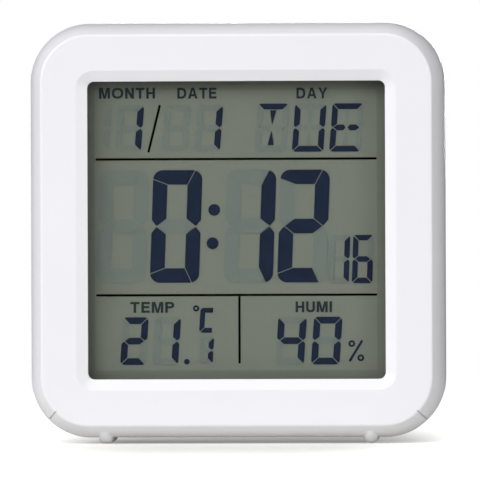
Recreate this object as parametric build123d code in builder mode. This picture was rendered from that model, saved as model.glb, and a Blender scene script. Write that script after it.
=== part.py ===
"""Square table clock with a thermometer and hygrometer display, modelled as its separate pieces.

Millimetres. +Z is up, the display faces -Y, and the origin is on the table under the middle of the case.
Depths are counted from the front face of the case towards its back.
"""

import math
import os

from build123d import *

os.makedirs("parts", exist_ok=True)

# Display glass, and the case around it
GLASS_WIDTH = 61.0
GLASS_HEIGHT = 61.0
GLASS_BORDER = 1.8  # glass hidden behind the case on each side of the window
BEZEL_MARGIN = 9.5  # from the edge of the glass out to the widest outline of the case
CASE_CORNER_RADIUS = 11.5  # corner of the widest outline
CASE_WALL = 2.0
FACE_THICKNESS = 2.0
FACE_SETBACK = 2.4  # how far the front face stands inside the widest outline
FACE_CURVE_DEPTH = 7.0  # depth over which the sides swell from the face to the widest outline
FACE_EDGE_RADIUS = 0.6  # small round between the face and the swelling sides
WINDOW_CORNER_RADIUS = 1.3
BEVEL_WIDTH = 2.1  # slope that leads from the face down to the window
BEVEL_DEPTH = 0.9
BEVEL_EDGE_RADIUS = 0.4
SEAM_DEPTH = 14.0  # where the front case meets the rear cover
SEAM_GAP = 0.2
SPLIT_WIDTH = 0.25  # split line across the rim at each lower corner
SPLIT_DEPTH = 0.35
LIP_DEPTH = 2.0  # lip of the rear cover that slips inside the front case
LIP_THICKNESS = 1.0
LIP_CLEARANCE = 0.15
REAR_DRAFT = 0.6  # how much the rear cover narrows on each side towards the back
REAR_EDGE_RADIUS = 3.0
REAR_THICKNESS = 2.4

# Runner feet under the case
FOOT_SPACING = 51.1
FOOT_WIDTH = 2.9
FOOT_FLAT = 1.0  # width of the flat that stands on the table
FOOT_HEIGHT = 1.15
FOOT_FRONT = 2.6  # depth where the feet end inside the front case
FOOT_NOSE = 4.4  # length over which the end of a foot curves up into the case
FOOT_LIFT = 2.4

# Layers of the display, from the face backwards
LENS_TAPE_THICKNESS = 0.15
LENS_THICKNESS = 1.0
LENS_CLEARANCE = 0.4  # pane smaller than the glass on each side
GASKET_THICKNESS = 0.6
GASKET_WIDTH = 1.1
POLARISER_THICKNESS = 0.2
FILM_CLEARANCE = 0.2  # between the polariser and the gasket round it
GLASS_THICKNESS = 1.1
CRYSTAL_THICKNESS = 0.1  # liquid crystal layer with its segments
SEAL_WIDTH = 1.0
GLASS_LEDGE = 2.8  # contact ledge where the front glass reaches below the rear glass
REFLECTOR_THICKNESS = 0.25
GLASS_POCKET_CLEARANCE = 0.25  # between the glass and the rib round it
GLASS_POCKET_RIB = 1.2
ZEBRA_LENGTH = 56.0
ZEBRA_WIDTH = 1.6
ZEBRA_INSET = 0.1  # from the lower edge of the glass up to the connector
PAD_LENGTH = 50.0
PAD_WIDTH = 3.0
PAD_INSET = 4.0  # from the top edge of the glass down to the middle of the pad

# Circuit board and what stands on it
BOARD_SPACE = 2.3  # between the reflector and the board
BOARD_THICKNESS = 1.0
BOARD_SIDE_OVERHANG = 6.0  # board wider than the glass on each side
BOARD_END_OVERHANG = 0.5  # board taller than the glass at each end
BOARD_CLEARANCE = 0.8  # between the board and the case bosses
COMPONENT_SPACE = 3.6  # between the board and the floor of the battery bay
BLOB_PLACE = (-6.0, -16.0)  # across and up from the middle of the case
BLOB_RADIUS = 7.0
BLOB_HEIGHT = 1.8
CRYSTAL_PLACE = (9.0, -15.5)
CRYSTAL_CAN_RADIUS = 1.0
CRYSTAL_CAN_LENGTH = 6.0
CRYSTAL_LEAD_RADIUS = 0.2
CRYSTAL_LEAD_PITCH = 0.9
CRYSTAL_LEAD_REACH = 2.0
CAPACITOR_PLACE = (-20.0, -16.0)
RESISTOR_PLACE = (0.0, 6.0)
CHIP_LENGTH = 2.0
CHIP_WIDTH = 1.25
CAPACITOR_HEIGHT = 0.9
RESISTOR_HEIGHT = 0.5
CHIP_PITCH = 3.6
SENSOR_SPREAD = 3.5  # the two sensors stand this far on either side of the middle of the vent
BEAD_RADIUS = 1.2
BEAD_STANDOFF = 9.0  # bead above the board
BEAD_LEAD_RADIUS = 0.25
BEAD_LEAD_PITCH = 1.4
HUMIDITY_PLATE_WIDTH = 5.0
HUMIDITY_PLATE_HEIGHT = 8.0
HUMIDITY_PLATE_THICKNESS = 0.7
HUMIDITY_PIN_RADIUS = 0.3
HUMIDITY_PIN_LENGTH = 2.5
BUZZER_RADIUS = 6.0
BUZZER_HEIGHT = 7.5
BUZZER_EDGE_RADIUS = 0.4
BUZZER_HOLE_RADIUS = 1.2
BUZZER_HOLE_DEPTH = 2.0

# Buttons on the back, with a tactile switch under each
BUTTON_ROW = 20.0  # height of the row above the middle of the case
BUTTON_PITCH = 14.0
BUTTON_RADIUS = 3.5
BUTTON_CLEARANCE = 0.25
BUTTON_PROUD = 0.7  # crown above the floor of the button panel
BUTTON_CROWN_RADIUS = 0.5
BUTTON_FLANGE_WIDTH = 1.0
BUTTON_FLANGE_THICKNESS = 1.0
BUTTON_SEAT_GAP = 0.05  # between a flange and the cover it is held by
BUTTON_TRAVEL = 0.5
STEM_RADIUS = 1.9
PANEL_MARGIN = 3.0  # recessed panel round the buttons
PANEL_RECESS = 0.9
SWITCH_SIDE = 6.0
SWITCH_HEIGHT = 3.5
PLUNGER_RADIUS = 1.7
PLUNGER_CLEARANCE = 0.06
PLUNGER_PROUD = 0.9
PLUNGER_DEPTH = 1.0  # length of a plunger inside its switch
PLUNGER_END_GAP = 0.2  # left under a plunger when it is pressed home

# Slots in the back: sensor vent on one side, sound slots on the other
VENT_INSET = 11.5  # from the side of the board in to the middle of the slots
VENT_ROW = 6.0
VENT_LENGTH = 11.0
VENT_WIDTH = 1.2
VENT_PITCH = 2.6
VENT_COUNT = 4

# Screws: the case is screwed together from the back, the board to posts inside the front case
SCREW_RADIUS = 1.0
SCREW_CLEARANCE = 0.15  # round a screw in the piece that it holds
PILOT_CLEARANCE = 0.02  # round a screw in the boss that it bites
SCREW_HEAD_RADIUS = 1.8
SCREW_HEAD_HEIGHT = 1.2
SCREW_HEAD_ROUND = 0.4
SCREW_CROSS_WIDTH = 0.5
SCREW_CROSS_LENGTH = 2.2
SCREW_CROSS_DEPTH = 0.6
SCREW_TIP_SPACE = 0.8  # left under the tip of a screw
BOSS_RADIUS = 2.4
BOSS_OFFSET = 2.1  # from the corner of the glass out to the middle of a boss, in both directions
CASE_SCREW_GRIP = 8.0  # length of a case screw inside its boss
WELL_WALL = 1.0
WELL_CLEARANCE = 0.2
WELL_FLOOR = 1.8
POST_RADIUS = 2.2
POST_OFFSET = 3.5  # from the side of the glass out to the middle of a post
POST_SPREAD = 12.0
BOARD_SCREW_GRIP = 4.0

# Battery bay and its door
CELL_RADIUS = 5.25
CELL_LENGTH = 44.5
CELL_EDGE_RADIUS = 0.5
CELL_NUB_RADIUS = 1.9
CELL_NUB_LENGTH = 1.0
CELL_CLEARANCE = 0.1  # between a cell and the floor under it
CELL_GAP = 0.4  # between the two cells
CELL_SIDE_CLEARANCE = 0.4
BAY_DROP = 15.5  # middle of the bay below the middle of the case
BAY_FLOOR = 1.2
BAY_WALL = 1.2
DOOR_THICKNESS = 1.6
DOOR_CLEARANCE = 0.4  # between the cells and the door
DOOR_GAP = 0.2  # round the edge of the door
DOOR_LEDGE = 1.4
DOOR_CORNER_RADIUS = 2.0
TAB_SPACING = 30.0
TAB_WIDTH = 6.0
TAB_REACH = 1.4
TAB_THICKNESS = 0.7
TAB_CLEARANCE = 0.2
TONGUE_WIDTH = 12.0
TONGUE_LENGTH = 8.0
TONGUE_SLOT = 0.7
TONGUE_NIB_WIDTH = 8.0
TONGUE_NIB_REACH = 0.12
GRIP_RIB_COUNT = 3
GRIP_RIB_PITCH = 1.6
GRIP_RIB_LENGTH = 8.0
GRIP_RIB_WIDTH = 0.7
GRIP_RIB_HEIGHT = 0.4
SCOOP_RADIUS = 7.0  # finger scoop in the cover above the tongue
SCOOP_DEPTH = 1.1
SCOOP_LENGTH = 12.0
CONTACT_THICKNESS = 0.4
CONTACT_WIDTH = 8.8
CONTACT_HEIGHT = 8.4  # from the floor of the bay towards the door
CONTACT_TAIL_WIDTH = 2.4
CONTACT_TAIL_CLEARANCE = 0.2
CONTACT_TAIL_REACH = 2.2  # how far a tail reaches past the floor towards the board
SPRING_LENGTH = 4.2
SPRING_TURNS = 3.5
SPRING_BASE_RADIUS = 3.3
SPRING_TIP_RADIUS = 2.1
SPRING_WIRE_RADIUS = 0.3
SPRING_SEAT_GAP = 0.03
LEAD_RADIUS = 0.5
LEAD_REACH = 5.2  # from a contact tail in under the bay to where the lead turns down to the board
LEAD_BEND_RADIUS = 1.0

# What the display shows, drawn in units of which a fixed count fills the window. A character is width,
# height, stroke, corner and slant; places are counted across and up from the middle of the glass
ARTWORK_UNITS = 57.4
SEGMENT_GAP = 0.18
TIME_DIGIT = (9.5, 21.75, 2.8, 1.9, 0.037)
SECONDS_DIGIT = (3.95, 9.3, 1.05, 0.65, 0.037)
DATE_DIGIT = (5.0, 8.95, 1.22, 0.85, 0.078)
DAY_LETTER = (6.05, 9.3, 1.12, 0.75, 0.078)
TEMPERATURE_DIGIT = (4.93, 9.2, 1.3, 0.85, 0.07)
HUMIDITY_DIGIT = (5.5, 9.2, 1.3, 0.85, 0.07)
TENTHS_DIGIT = (2.6, 5.15, 0.98, 0.6, 0.07)
CELSIUS_LETTER = (2.45, 4.8, 0.93, 0.7, 0.07)
TIME_SPLITS = (0.62, 0.5)  # where the large digits are split at their left and right corners, in strokes
EVEN_SPLITS = (0.0, 0.0)  # the small ones are split straight through the corner
TIP_INSET = 0.36  # pointed ends at the middle of a digit, in strokes
NOTCH_HEIGHT = 0.45
HALF_GAP = 0.17  # pointed ends at the middle of a letter, half gaps in strokes
HALF_FLARE = 0.92
WEDGE_TOP = 0.52  # centre strokes of a letter, half widths in strokes
WEDGE_TIP = 0.04
WEDGE_END = 0.6
DATE_ROW = 19.73
TIME_ROW = 0.75
SECONDS_ROW = -5.65
VALUE_ROW = -21.36
TIME_COLUMNS = (-22.14, -11.81, 2.47, 12.8)
SECONDS_COLUMNS = (19.68, 24.2)
MONTH_COLUMNS = (-26.95, -20.75)
DATE_COLUMNS = (-11.7, -5.46)
DAY_COLUMNS = (6.75, 13.96, 21.16)
TEMPERATURE_COLUMNS = (-19.96, -13.7)
HUMIDITY_COLUMNS = (10.32, 17.2)
TENTHS_PLACE = (-6.0, -23.18)
CELSIUS_PLACE = (-6.07, -17.38)
COLON_PLACES = ((-4.45, 3.92), (-4.78, -2.53))
COLON_RADIUS = 1.13
POINT_PLACE = (-9.84, -25.36)
POINT_RADIUS = 0.54
RING_STROKE = 0.36
DEGREE_PLACE = (-8.02, -15.08)
DEGREE_RADIUS = 0.6
PERCENT_RINGS = ((22.03, -21.95), (23.76, -24.7))
PERCENT_RADIUS = 0.65
PERCENT_BAR_PLACE = (22.82, -23.35)
PERCENT_BAR_LENGTH = 4.8
PERCENT_BAR_ANGLE = 58.6
PERCENT_BAR_WIDTH = 0.45

# Sizes that follow from the ones above
CASE_WIDTH = GLASS_WIDTH + 2 * BEZEL_MARGIN
CASE_HEIGHT = GLASS_HEIGHT + 2 * BEZEL_MARGIN
WINDOW_WIDTH = GLASS_WIDTH - 2 * GLASS_BORDER
WINDOW_HEIGHT = GLASS_HEIGHT - 2 * GLASS_BORDER
LENS_WIDTH = GLASS_WIDTH - 2 * LENS_CLEARANCE
LENS_HEIGHT = GLASS_HEIGHT - 2 * LENS_CLEARANCE
FILM_WIDTH = GLASS_WIDTH - 2 * (GASKET_WIDTH + FILM_CLEARANCE)
FILM_HEIGHT = GLASS_HEIGHT - 2 * (GASKET_WIDTH + FILM_CLEARANCE)
REAR_GLASS_HEIGHT = GLASS_HEIGHT - GLASS_LEDGE
BOARD_WIDTH = GLASS_WIDTH + 2 * BOARD_SIDE_OVERHANG
BOARD_HEIGHT = GLASS_HEIGHT + 2 * BOARD_END_OVERHANG
VENT_X = BOARD_WIDTH / 2 - VENT_INSET
BOSS_X = GLASS_WIDTH / 2 + BOSS_OFFSET
BOSS_Z = GLASS_HEIGHT / 2 + BOSS_OFFSET
POST_X = GLASS_WIDTH / 2 + POST_OFFSET
ARTWORK_UNIT = min(WINDOW_WIDTH, WINDOW_HEIGHT) / ARTWORK_UNITS
POCKET_WIDTH = GLASS_WIDTH + 2 * GLASS_POCKET_CLEARANCE
POCKET_HEIGHT = GLASS_HEIGHT + 2 * GLASS_POCKET_CLEARANCE
CENTRE_HEIGHT = FOOT_HEIGHT + CASE_HEIGHT / 2

LENS_DEPTH = FACE_THICKNESS + LENS_TAPE_THICKNESS
GASKET_DEPTH = LENS_DEPTH + LENS_THICKNESS
FRONT_GLASS_DEPTH = GASKET_DEPTH + GASKET_THICKNESS
CRYSTAL_DEPTH = FRONT_GLASS_DEPTH + GLASS_THICKNESS
REAR_GLASS_DEPTH = CRYSTAL_DEPTH + CRYSTAL_THICKNESS
REFLECTOR_DEPTH = REAR_GLASS_DEPTH + GLASS_THICKNESS
PAD_DEPTH = REFLECTOR_DEPTH + REFLECTOR_THICKNESS
BOARD_DEPTH = PAD_DEPTH + BOARD_SPACE
BOARD_BACK = BOARD_DEPTH + BOARD_THICKNESS
BAY_BOTTOM = BOARD_BACK + COMPONENT_SPACE
BAY_DEPTH = BAY_BOTTOM + BAY_FLOOR
CELL_DEPTH = BAY_DEPTH + CELL_CLEARANCE + CELL_RADIUS
DOOR_DEPTH = CELL_DEPTH + CELL_RADIUS + DOOR_CLEARANCE
CASE_DEPTH = DOOR_DEPTH + DOOR_THICKNESS
COVER_INSIDE = CASE_DEPTH - REAR_THICKNESS
PANEL_DEPTH = CASE_DEPTH - PANEL_RECESS

BAY_LENGTH = CELL_LENGTH + SPRING_LENGTH + 2 * CONTACT_THICKNESS
BAY_HEIGHT = 4 * CELL_RADIUS + CELL_GAP + 2 * CELL_SIDE_CLEARANCE
BAY_Z = -BAY_DROP
CELL_OFFSET = CELL_RADIUS + CELL_GAP / 2
DOOR_WIDTH = BAY_LENGTH + 2 * (DOOR_LEDGE - DOOR_GAP)
DOOR_HEIGHT = BAY_HEIGHT + 2 * (DOOR_LEDGE - DOOR_GAP)
DOOR_BOTTOM = BAY_Z - DOOR_HEIGHT / 2
DOOR_TOP = BAY_Z + DOOR_HEIGHT / 2
BUTTON_COLUMNS = [(i - 1.5) * BUTTON_PITCH for i in range(4)]
BUTTON_NAMES = ("mode", "set", "up", "down")
PANEL_HEIGHT = 2 * (BUTTON_RADIUS + PANEL_MARGIN)
PANEL_WIDTH = 3 * BUTTON_PITCH + PANEL_HEIGHT


def at_depth(depth, x=0.0, z=0.0):
    """A plane facing the front, at a depth and at a place across and up from the middle of the case."""
    return Plane(
        origin=(x, depth - CASE_DEPTH / 2, CENTRE_HEIGHT + z), x_dir=(1, 0, 0), z_dir=(0, -1, 0)
    )


def finish(builder, name):
    """Names a finished piece and writes it."""
    builder.part.label = name
    export_step(builder.part, f"parts/{name}.step")


# The widest outline of the case is the path that the case walls follow
with BuildLine(at_depth(0)) as outline_builder:
    FilletPolyline(
        (-CASE_WIDTH / 2, -CASE_HEIGHT / 2),
        (CASE_WIDTH / 2, -CASE_HEIGHT / 2),
        (CASE_WIDTH / 2, CASE_HEIGHT / 2),
        (-CASE_WIDTH / 2, CASE_HEIGHT / 2),
        radius=CASE_CORNER_RADIUS,
        close=True,
    )
case_outline = outline_builder.wire()
outline_start = case_outline @ 0
outline_along = case_outline % 0
# Section plane across the wall: first axis outwards, second axis towards the back
wall_plane = Plane(
    origin=outline_start, x_dir=outline_along.cross(Vector(0, -1, 0)), z_dir=outline_along
)


def runner_feet(flat_end, turn, lifted_end):
    """Both feet: round bars half sunk in the case with a flat to stand on, curving up into it at one end."""
    radius = FOOT_WIDTH / 2
    rise = math.sqrt(radius**2 - (FOOT_FLAT / 2) ** 2)
    with BuildPart() as feet:
        for x in (-FOOT_SPACING / 2, FOOT_SPACING / 2):
            # First axis towards the back, second axis up
            along = Plane(origin=(x, -CASE_DEPTH / 2, rise), x_dir=(0, 1, 0), z_dir=(1, 0, 0))
            with BuildLine(along) as bar:
                straight = Line((flat_end, 0), (turn, 0))
                TangentArc((turn, 0), (lifted_end, FOOT_LIFT), tangent=straight % 1)
            with BuildSketch(Plane(bar.wire() @ 0, z_dir=bar.wire() % 0)):
                Circle(radius)
            sweep(path=bar.wire())
        split(bisect_by=Plane.XY, keep=Keep.TOP)
    return feet.part


# Front case
front_feet = runner_feet(SEAM_DEPTH, FOOT_FRONT + FOOT_NOSE, FOOT_FRONT)
with BuildSketch(wall_plane) as front_wall:
    with BuildLine():
        TangentArc((0, FACE_CURVE_DEPTH), (-FACE_SETBACK, 0), tangent=(0, -1))
        Polyline(
            (-FACE_SETBACK, 0),
            (-FACE_SETBACK - CASE_WALL, 0),
            (-FACE_SETBACK - CASE_WALL, FACE_THICKNESS),
            (-CASE_WALL, FACE_CURVE_DEPTH),
            (-CASE_WALL, SEAM_DEPTH),
            (0, SEAM_DEPTH),
            (0, FACE_CURVE_DEPTH),
        )
    make_face()
    fillet(front_wall.vertices().sort_by_distance((-FACE_SETBACK, 0))[0], FACE_EDGE_RADIUS)
face_overlap = FACE_SETBACK + CASE_WALL / 2
bevel_reach_x = WINDOW_WIDTH / 2 + BEVEL_WIDTH + BEVEL_EDGE_RADIUS
bevel_reach_z = WINDOW_HEIGHT / 2 + BEVEL_WIDTH + BEVEL_EDGE_RADIUS
with BuildPart() as front_case:
    sweep(front_wall.sketch, path=case_outline)
    with BuildSketch(at_depth(0)):
        RectangleRounded(
            CASE_WIDTH - 2 * face_overlap, CASE_HEIGHT - 2 * face_overlap, CASE_CORNER_RADIUS - face_overlap
        )
    extrude(amount=-FACE_THICKNESS)
    with BuildSketch(at_depth(FACE_THICKNESS)):
        with GridLocations(2 * BOSS_X, 2 * BOSS_Z, 2, 2):
            Circle(BOSS_RADIUS)
    extrude(amount=FACE_THICKNESS - SEAM_DEPTH)
    with BuildSketch(at_depth(FACE_THICKNESS)):
        with GridLocations(2 * POST_X, 2 * POST_SPREAD, 2, 2):
            Circle(POST_RADIUS)
    extrude(amount=FACE_THICKNESS - BOARD_DEPTH)
    with BuildSketch(at_depth(FACE_THICKNESS)):
        Rectangle(POCKET_WIDTH + 2 * GLASS_POCKET_RIB, POCKET_HEIGHT + 2 * GLASS_POCKET_RIB)
    extrude(amount=FACE_THICKNESS - CRYSTAL_DEPTH)
    with BuildSketch(at_depth(FACE_THICKNESS)):
        Rectangle(POCKET_WIDTH, POCKET_HEIGHT)
    extrude(amount=FACE_THICKNESS - BOARD_DEPTH, mode=Mode.SUBTRACT)
    add(front_feet)
    with BuildSketch(at_depth(0)):
        RectangleRounded(WINDOW_WIDTH, WINDOW_HEIGHT, WINDOW_CORNER_RADIUS)
    extrude(amount=-FACE_THICKNESS, mode=Mode.SUBTRACT)
    with BuildSketch(at_depth(0)):
        RectangleRounded(
            WINDOW_WIDTH + 2 * BEVEL_WIDTH,
            WINDOW_HEIGHT + 2 * BEVEL_WIDTH,
            WINDOW_CORNER_RADIUS + BEVEL_WIDTH,
        )
    with BuildSketch(at_depth(BEVEL_DEPTH)):
        RectangleRounded(WINDOW_WIDTH, WINDOW_HEIGHT, WINDOW_CORNER_RADIUS)
    loft(mode=Mode.SUBTRACT)
    bevel_edges = (
        front_case.edges()
        .group_by(Axis.Y)[0]
        .filter_by_position(Axis.X, -bevel_reach_x, bevel_reach_x)
        .filter_by_position(Axis.Z, CENTRE_HEIGHT - bevel_reach_z, CENTRE_HEIGHT + bevel_reach_z)
    )
    fillet(bevel_edges, BEVEL_EDGE_RADIUS)
    with BuildSketch(at_depth(SEAM_DEPTH)):
        with GridLocations(2 * BOSS_X, 2 * BOSS_Z, 2, 2):
            Circle(SCREW_RADIUS + PILOT_CLEARANCE)
    extrude(amount=CASE_SCREW_GRIP + SCREW_TIP_SPACE, mode=Mode.SUBTRACT)
    with BuildSketch(at_depth(BOARD_DEPTH)):
        with GridLocations(2 * POST_X, 2 * POST_SPREAD, 2, 2):
            Circle(SCREW_RADIUS + PILOT_CLEARANCE)
    extrude(amount=BOARD_SCREW_GRIP + SCREW_TIP_SPACE, mode=Mode.SUBTRACT)
    # Split lines: a thin slot that follows the rim, on the diagonal of each lower corner
    split_floor = CASE_CORNER_RADIUS - SPLIT_DEPTH
    split_top = CASE_CORNER_RADIUS + SPLIT_DEPTH
    for side in (-1, 1):
        corner_x = side * (CASE_WIDTH / 2 - CASE_CORNER_RADIUS)
        corner_z = CENTRE_HEIGHT - CASE_HEIGHT / 2 + CASE_CORNER_RADIUS
        diagonal = Plane(
            origin=(corner_x, -CASE_DEPTH / 2, corner_z), x_dir=(side, 0, -1), z_dir=(1, 0, side)
        )
        with BuildSketch(diagonal):
            with BuildLine():
                TangentArc(
                    (split_floor, FACE_CURVE_DEPTH), (split_floor - FACE_SETBACK, 0), tangent=(0, -1)
                )
                Polyline(
                    (split_floor - FACE_SETBACK, 0),
                    (split_top, 0),
                    (split_top, SEAM_DEPTH),
                    (split_floor, SEAM_DEPTH),
                    (split_floor, FACE_CURVE_DEPTH),
                )
            make_face()
        extrude(amount=SPLIT_WIDTH / 2, both=True, mode=Mode.SUBTRACT)
finish(front_case, "front_case")

# Clear pane behind the window, held by a frame of tape
with BuildPart() as window_lens:
    with BuildSketch(at_depth(LENS_DEPTH)):
        Rectangle(LENS_WIDTH, LENS_HEIGHT)
    extrude(amount=-LENS_THICKNESS)
finish(window_lens, "window_lens")

with BuildPart() as lens_tape:
    with BuildSketch(at_depth(FACE_THICKNESS)):
        Rectangle(LENS_WIDTH, LENS_HEIGHT)
        RectangleRounded(WINDOW_WIDTH, WINDOW_HEIGHT, WINDOW_CORNER_RADIUS, mode=Mode.SUBTRACT)
    extrude(amount=-LENS_TAPE_THICKNESS)
finish(lens_tape, "lens_tape")

# Display: foam frame, polariser, two glasses with the sealed liquid crystal between them, reflector
with BuildPart() as lcd_gasket:
    with BuildSketch(at_depth(GASKET_DEPTH)):
        Rectangle(GLASS_WIDTH, GLASS_HEIGHT)
        Rectangle(GLASS_WIDTH - 2 * GASKET_WIDTH, GLASS_HEIGHT - 2 * GASKET_WIDTH, mode=Mode.SUBTRACT)
    extrude(amount=-GASKET_THICKNESS)
finish(lcd_gasket, "lcd_gasket")

with BuildPart() as lcd_front_polariser:
    with BuildSketch(at_depth(FRONT_GLASS_DEPTH)):
        Rectangle(FILM_WIDTH, FILM_HEIGHT)
    extrude(amount=POLARISER_THICKNESS)
finish(lcd_front_polariser, "lcd_front_polariser")

with BuildPart() as lcd_front_glass:
    with BuildSketch(at_depth(FRONT_GLASS_DEPTH)):
        Rectangle(GLASS_WIDTH, GLASS_HEIGHT)
    extrude(amount=-GLASS_THICKNESS)
finish(lcd_front_glass, "lcd_front_glass")

with BuildPart() as lcd_seal:
    with BuildSketch(at_depth(CRYSTAL_DEPTH, z=GLASS_LEDGE / 2)):
        Rectangle(GLASS_WIDTH, REAR_GLASS_HEIGHT)
        Rectangle(GLASS_WIDTH - 2 * SEAL_WIDTH, REAR_GLASS_HEIGHT - 2 * SEAL_WIDTH, mode=Mode.SUBTRACT)
    extrude(amount=-CRYSTAL_THICKNESS)
finish(lcd_seal, "lcd_seal")

with BuildPart() as lcd_rear_glass:
    with BuildSketch(at_depth(REAR_GLASS_DEPTH, z=GLASS_LEDGE / 2)):
        Rectangle(GLASS_WIDTH, REAR_GLASS_HEIGHT)
    extrude(amount=-GLASS_THICKNESS)
finish(lcd_rear_glass, "lcd_rear_glass")

with BuildPart() as lcd_reflector:
    with BuildSketch(at_depth(REFLECTOR_DEPTH, z=GLASS_LEDGE / 2)):
        Rectangle(FILM_WIDTH, REAR_GLASS_HEIGHT - 2 * FILM_CLEARANCE)
    extrude(amount=-REFLECTOR_THICKNESS)
finish(lcd_reflector, "lcd_reflector")


def strip(start, end, thickness, overrun):
    """Corners of a thin strip along a line, a little longer than the line at both ends."""
    along = (Vector(*end) - Vector(*start)).normalized()
    across = Vector(-along.Y, along.X) * (thickness / 2)
    first = Vector(*start) - along * overrun
    last = Vector(*end) + along * overrun
    return [first + across, last + across, last - across, first - across]


def character_segments(character, splits, letter=False):
    """Faces of one character by segment name, round its own middle.

    a to g are the usual seven, clockwise from the top with g in the middle. A letter has its middle
    stroke in two halves, g and G, and centre strokes i above and l below.
    """
    width, height, stroke, corner, slant = character
    w = width * ARTWORK_UNIT / 2
    h = height * ARTWORK_UNIT / 2
    t = stroke * ARTWORK_UNIT
    gap = SEGMENT_GAP * ARTWORK_UNIT

    def lean(x, z):
        return (x + slant * z, z)

    cutters = []
    for up in (1, -1):
        eye = ((t - w, t / 2), (w - t, t / 2), (w - t, h - t), (t - w, h - t))
        cutters.append([lean(x, up * z) for x, z in eye])
        inner_left, outer_left = lean(t - w, up * (h - t)), lean(-w, up * (h - splits[0] * t))
        inner_right, outer_right = lean(w - t, up * (h - t)), lean(w - splits[1] * t, up * h)
        cutters.append(strip(inner_left, outer_left, gap, t / 4))
        cutters.append(strip(inner_right, outer_right, gap, t / 4))
    for side in (1, -1):
        tip = w - TIP_INSET * t
        reach = w + TIP_INSET * t
        notch = ((tip, 0), (reach, 2 * NOTCH_HEIGHT * t), (reach, -2 * NOTCH_HEIGHT * t))
        cutters.append([lean(side * x, z) for x, z in notch])
        for up in (1, -1):
            cutters.append(strip(lean(side * (w - t), up * t / 2), lean(side * tip, 0), gap, t / 4))
    middles = {
        "a": (0, h - t / 2),
        "b": (w - t / 2, h / 2),
        "c": (w - t / 2, -h / 2),
        "d": (0, t / 2 - h),
        "e": (t / 2 - w, -h / 2),
        "f": (t / 2 - w, h / 2),
        "g": (0, 0),
    }
    wedges = []
    if letter:
        waist = ((-HALF_FLARE, 1), (-HALF_GAP, 0), (-HALF_FLARE, -1))
        waist += ((HALF_FLARE, -1), (HALF_GAP, 0), (HALF_FLARE, 1))
        cutters.append([lean(x * t, z * t) for x, z in waist])
        middles.update({"g": (-w / 2, 0), "G": (w / 2, 0), "i": (0, h / 2), "l": (0, -h / 2)})
        top = h - t - gap
        wedge = ((-WEDGE_TOP, top), (WEDGE_TOP, top), (WEDGE_TIP, WEDGE_END * t), (-WEDGE_TIP, WEDGE_END * t))
        wedges = [[lean(x * t, up * z) for x, z in wedge] for up in (1, -1)]
    with BuildSketch() as figure:
        with BuildLine():
            FilletPolyline(
                lean(-w, -h), lean(w, -h), lean(w, h), lean(-w, h), radius=corner * ARTWORK_UNIT, close=True
            )
        make_face()
        for corners in cutters:
            with BuildLine():
                Polyline(*corners, close=True)
            make_face(mode=Mode.SUBTRACT)
        for corners in wedges:
            with BuildLine():
                Polyline(*corners, close=True)
            make_face()
    return {name: figure.faces().sort_by_distance(lean(*at))[0] for name, at in middles.items()}


def celsius_segments(character):
    """Faces of the letter C round its own middle: d is the lower bar, C the back and upper bar in one."""
    width, height, stroke, corner, slant = character
    w = width * ARTWORK_UNIT / 2
    h = height * ARTWORK_UNIT / 2
    t = stroke * ARTWORK_UNIT

    def lean(x, z):
        return (x + slant * z, z)

    eye = [lean(t - w, t - h), lean(w + t, t - h), lean(w + t, h - t), lean(t - w, h - t)]
    split_line = strip(lean(t - w, t - h), lean(-w, -h), SEGMENT_GAP * ARTWORK_UNIT, t / 4)
    with BuildSketch() as figure:
        with BuildLine():
            FilletPolyline(lean(w, h), lean(-w, h), lean(-w, -h), lean(w, -h), radius=corner * ARTWORK_UNIT)
            Line(lean(w, -h), lean(w, h))
        make_face()
        for corners in (eye, split_line):
            with BuildLine():
                Polyline(*corners, close=True)
            make_face(mode=Mode.SUBTRACT)
    return dict(zip("dC", figure.faces().sort_by(Axis.Y)))


time_digit = character_segments(TIME_DIGIT, TIME_SPLITS)
seconds_digit = character_segments(SECONDS_DIGIT, EVEN_SPLITS)
date_digit = character_segments(DATE_DIGIT, EVEN_SPLITS)
day_letter = character_segments(DAY_LETTER, EVEN_SPLITS, letter=True)
temperature_digit = character_segments(TEMPERATURE_DIGIT, EVEN_SPLITS)
humidity_digit = character_segments(HUMIDITY_DIGIT, EVEN_SPLITS)
tenths_digit = character_segments(TENTHS_DIGIT, EVEN_SPLITS)
celsius_letter = celsius_segments(CELSIUS_LETTER)
month_tens = {name: date_digit[name] for name in "bc"}

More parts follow.
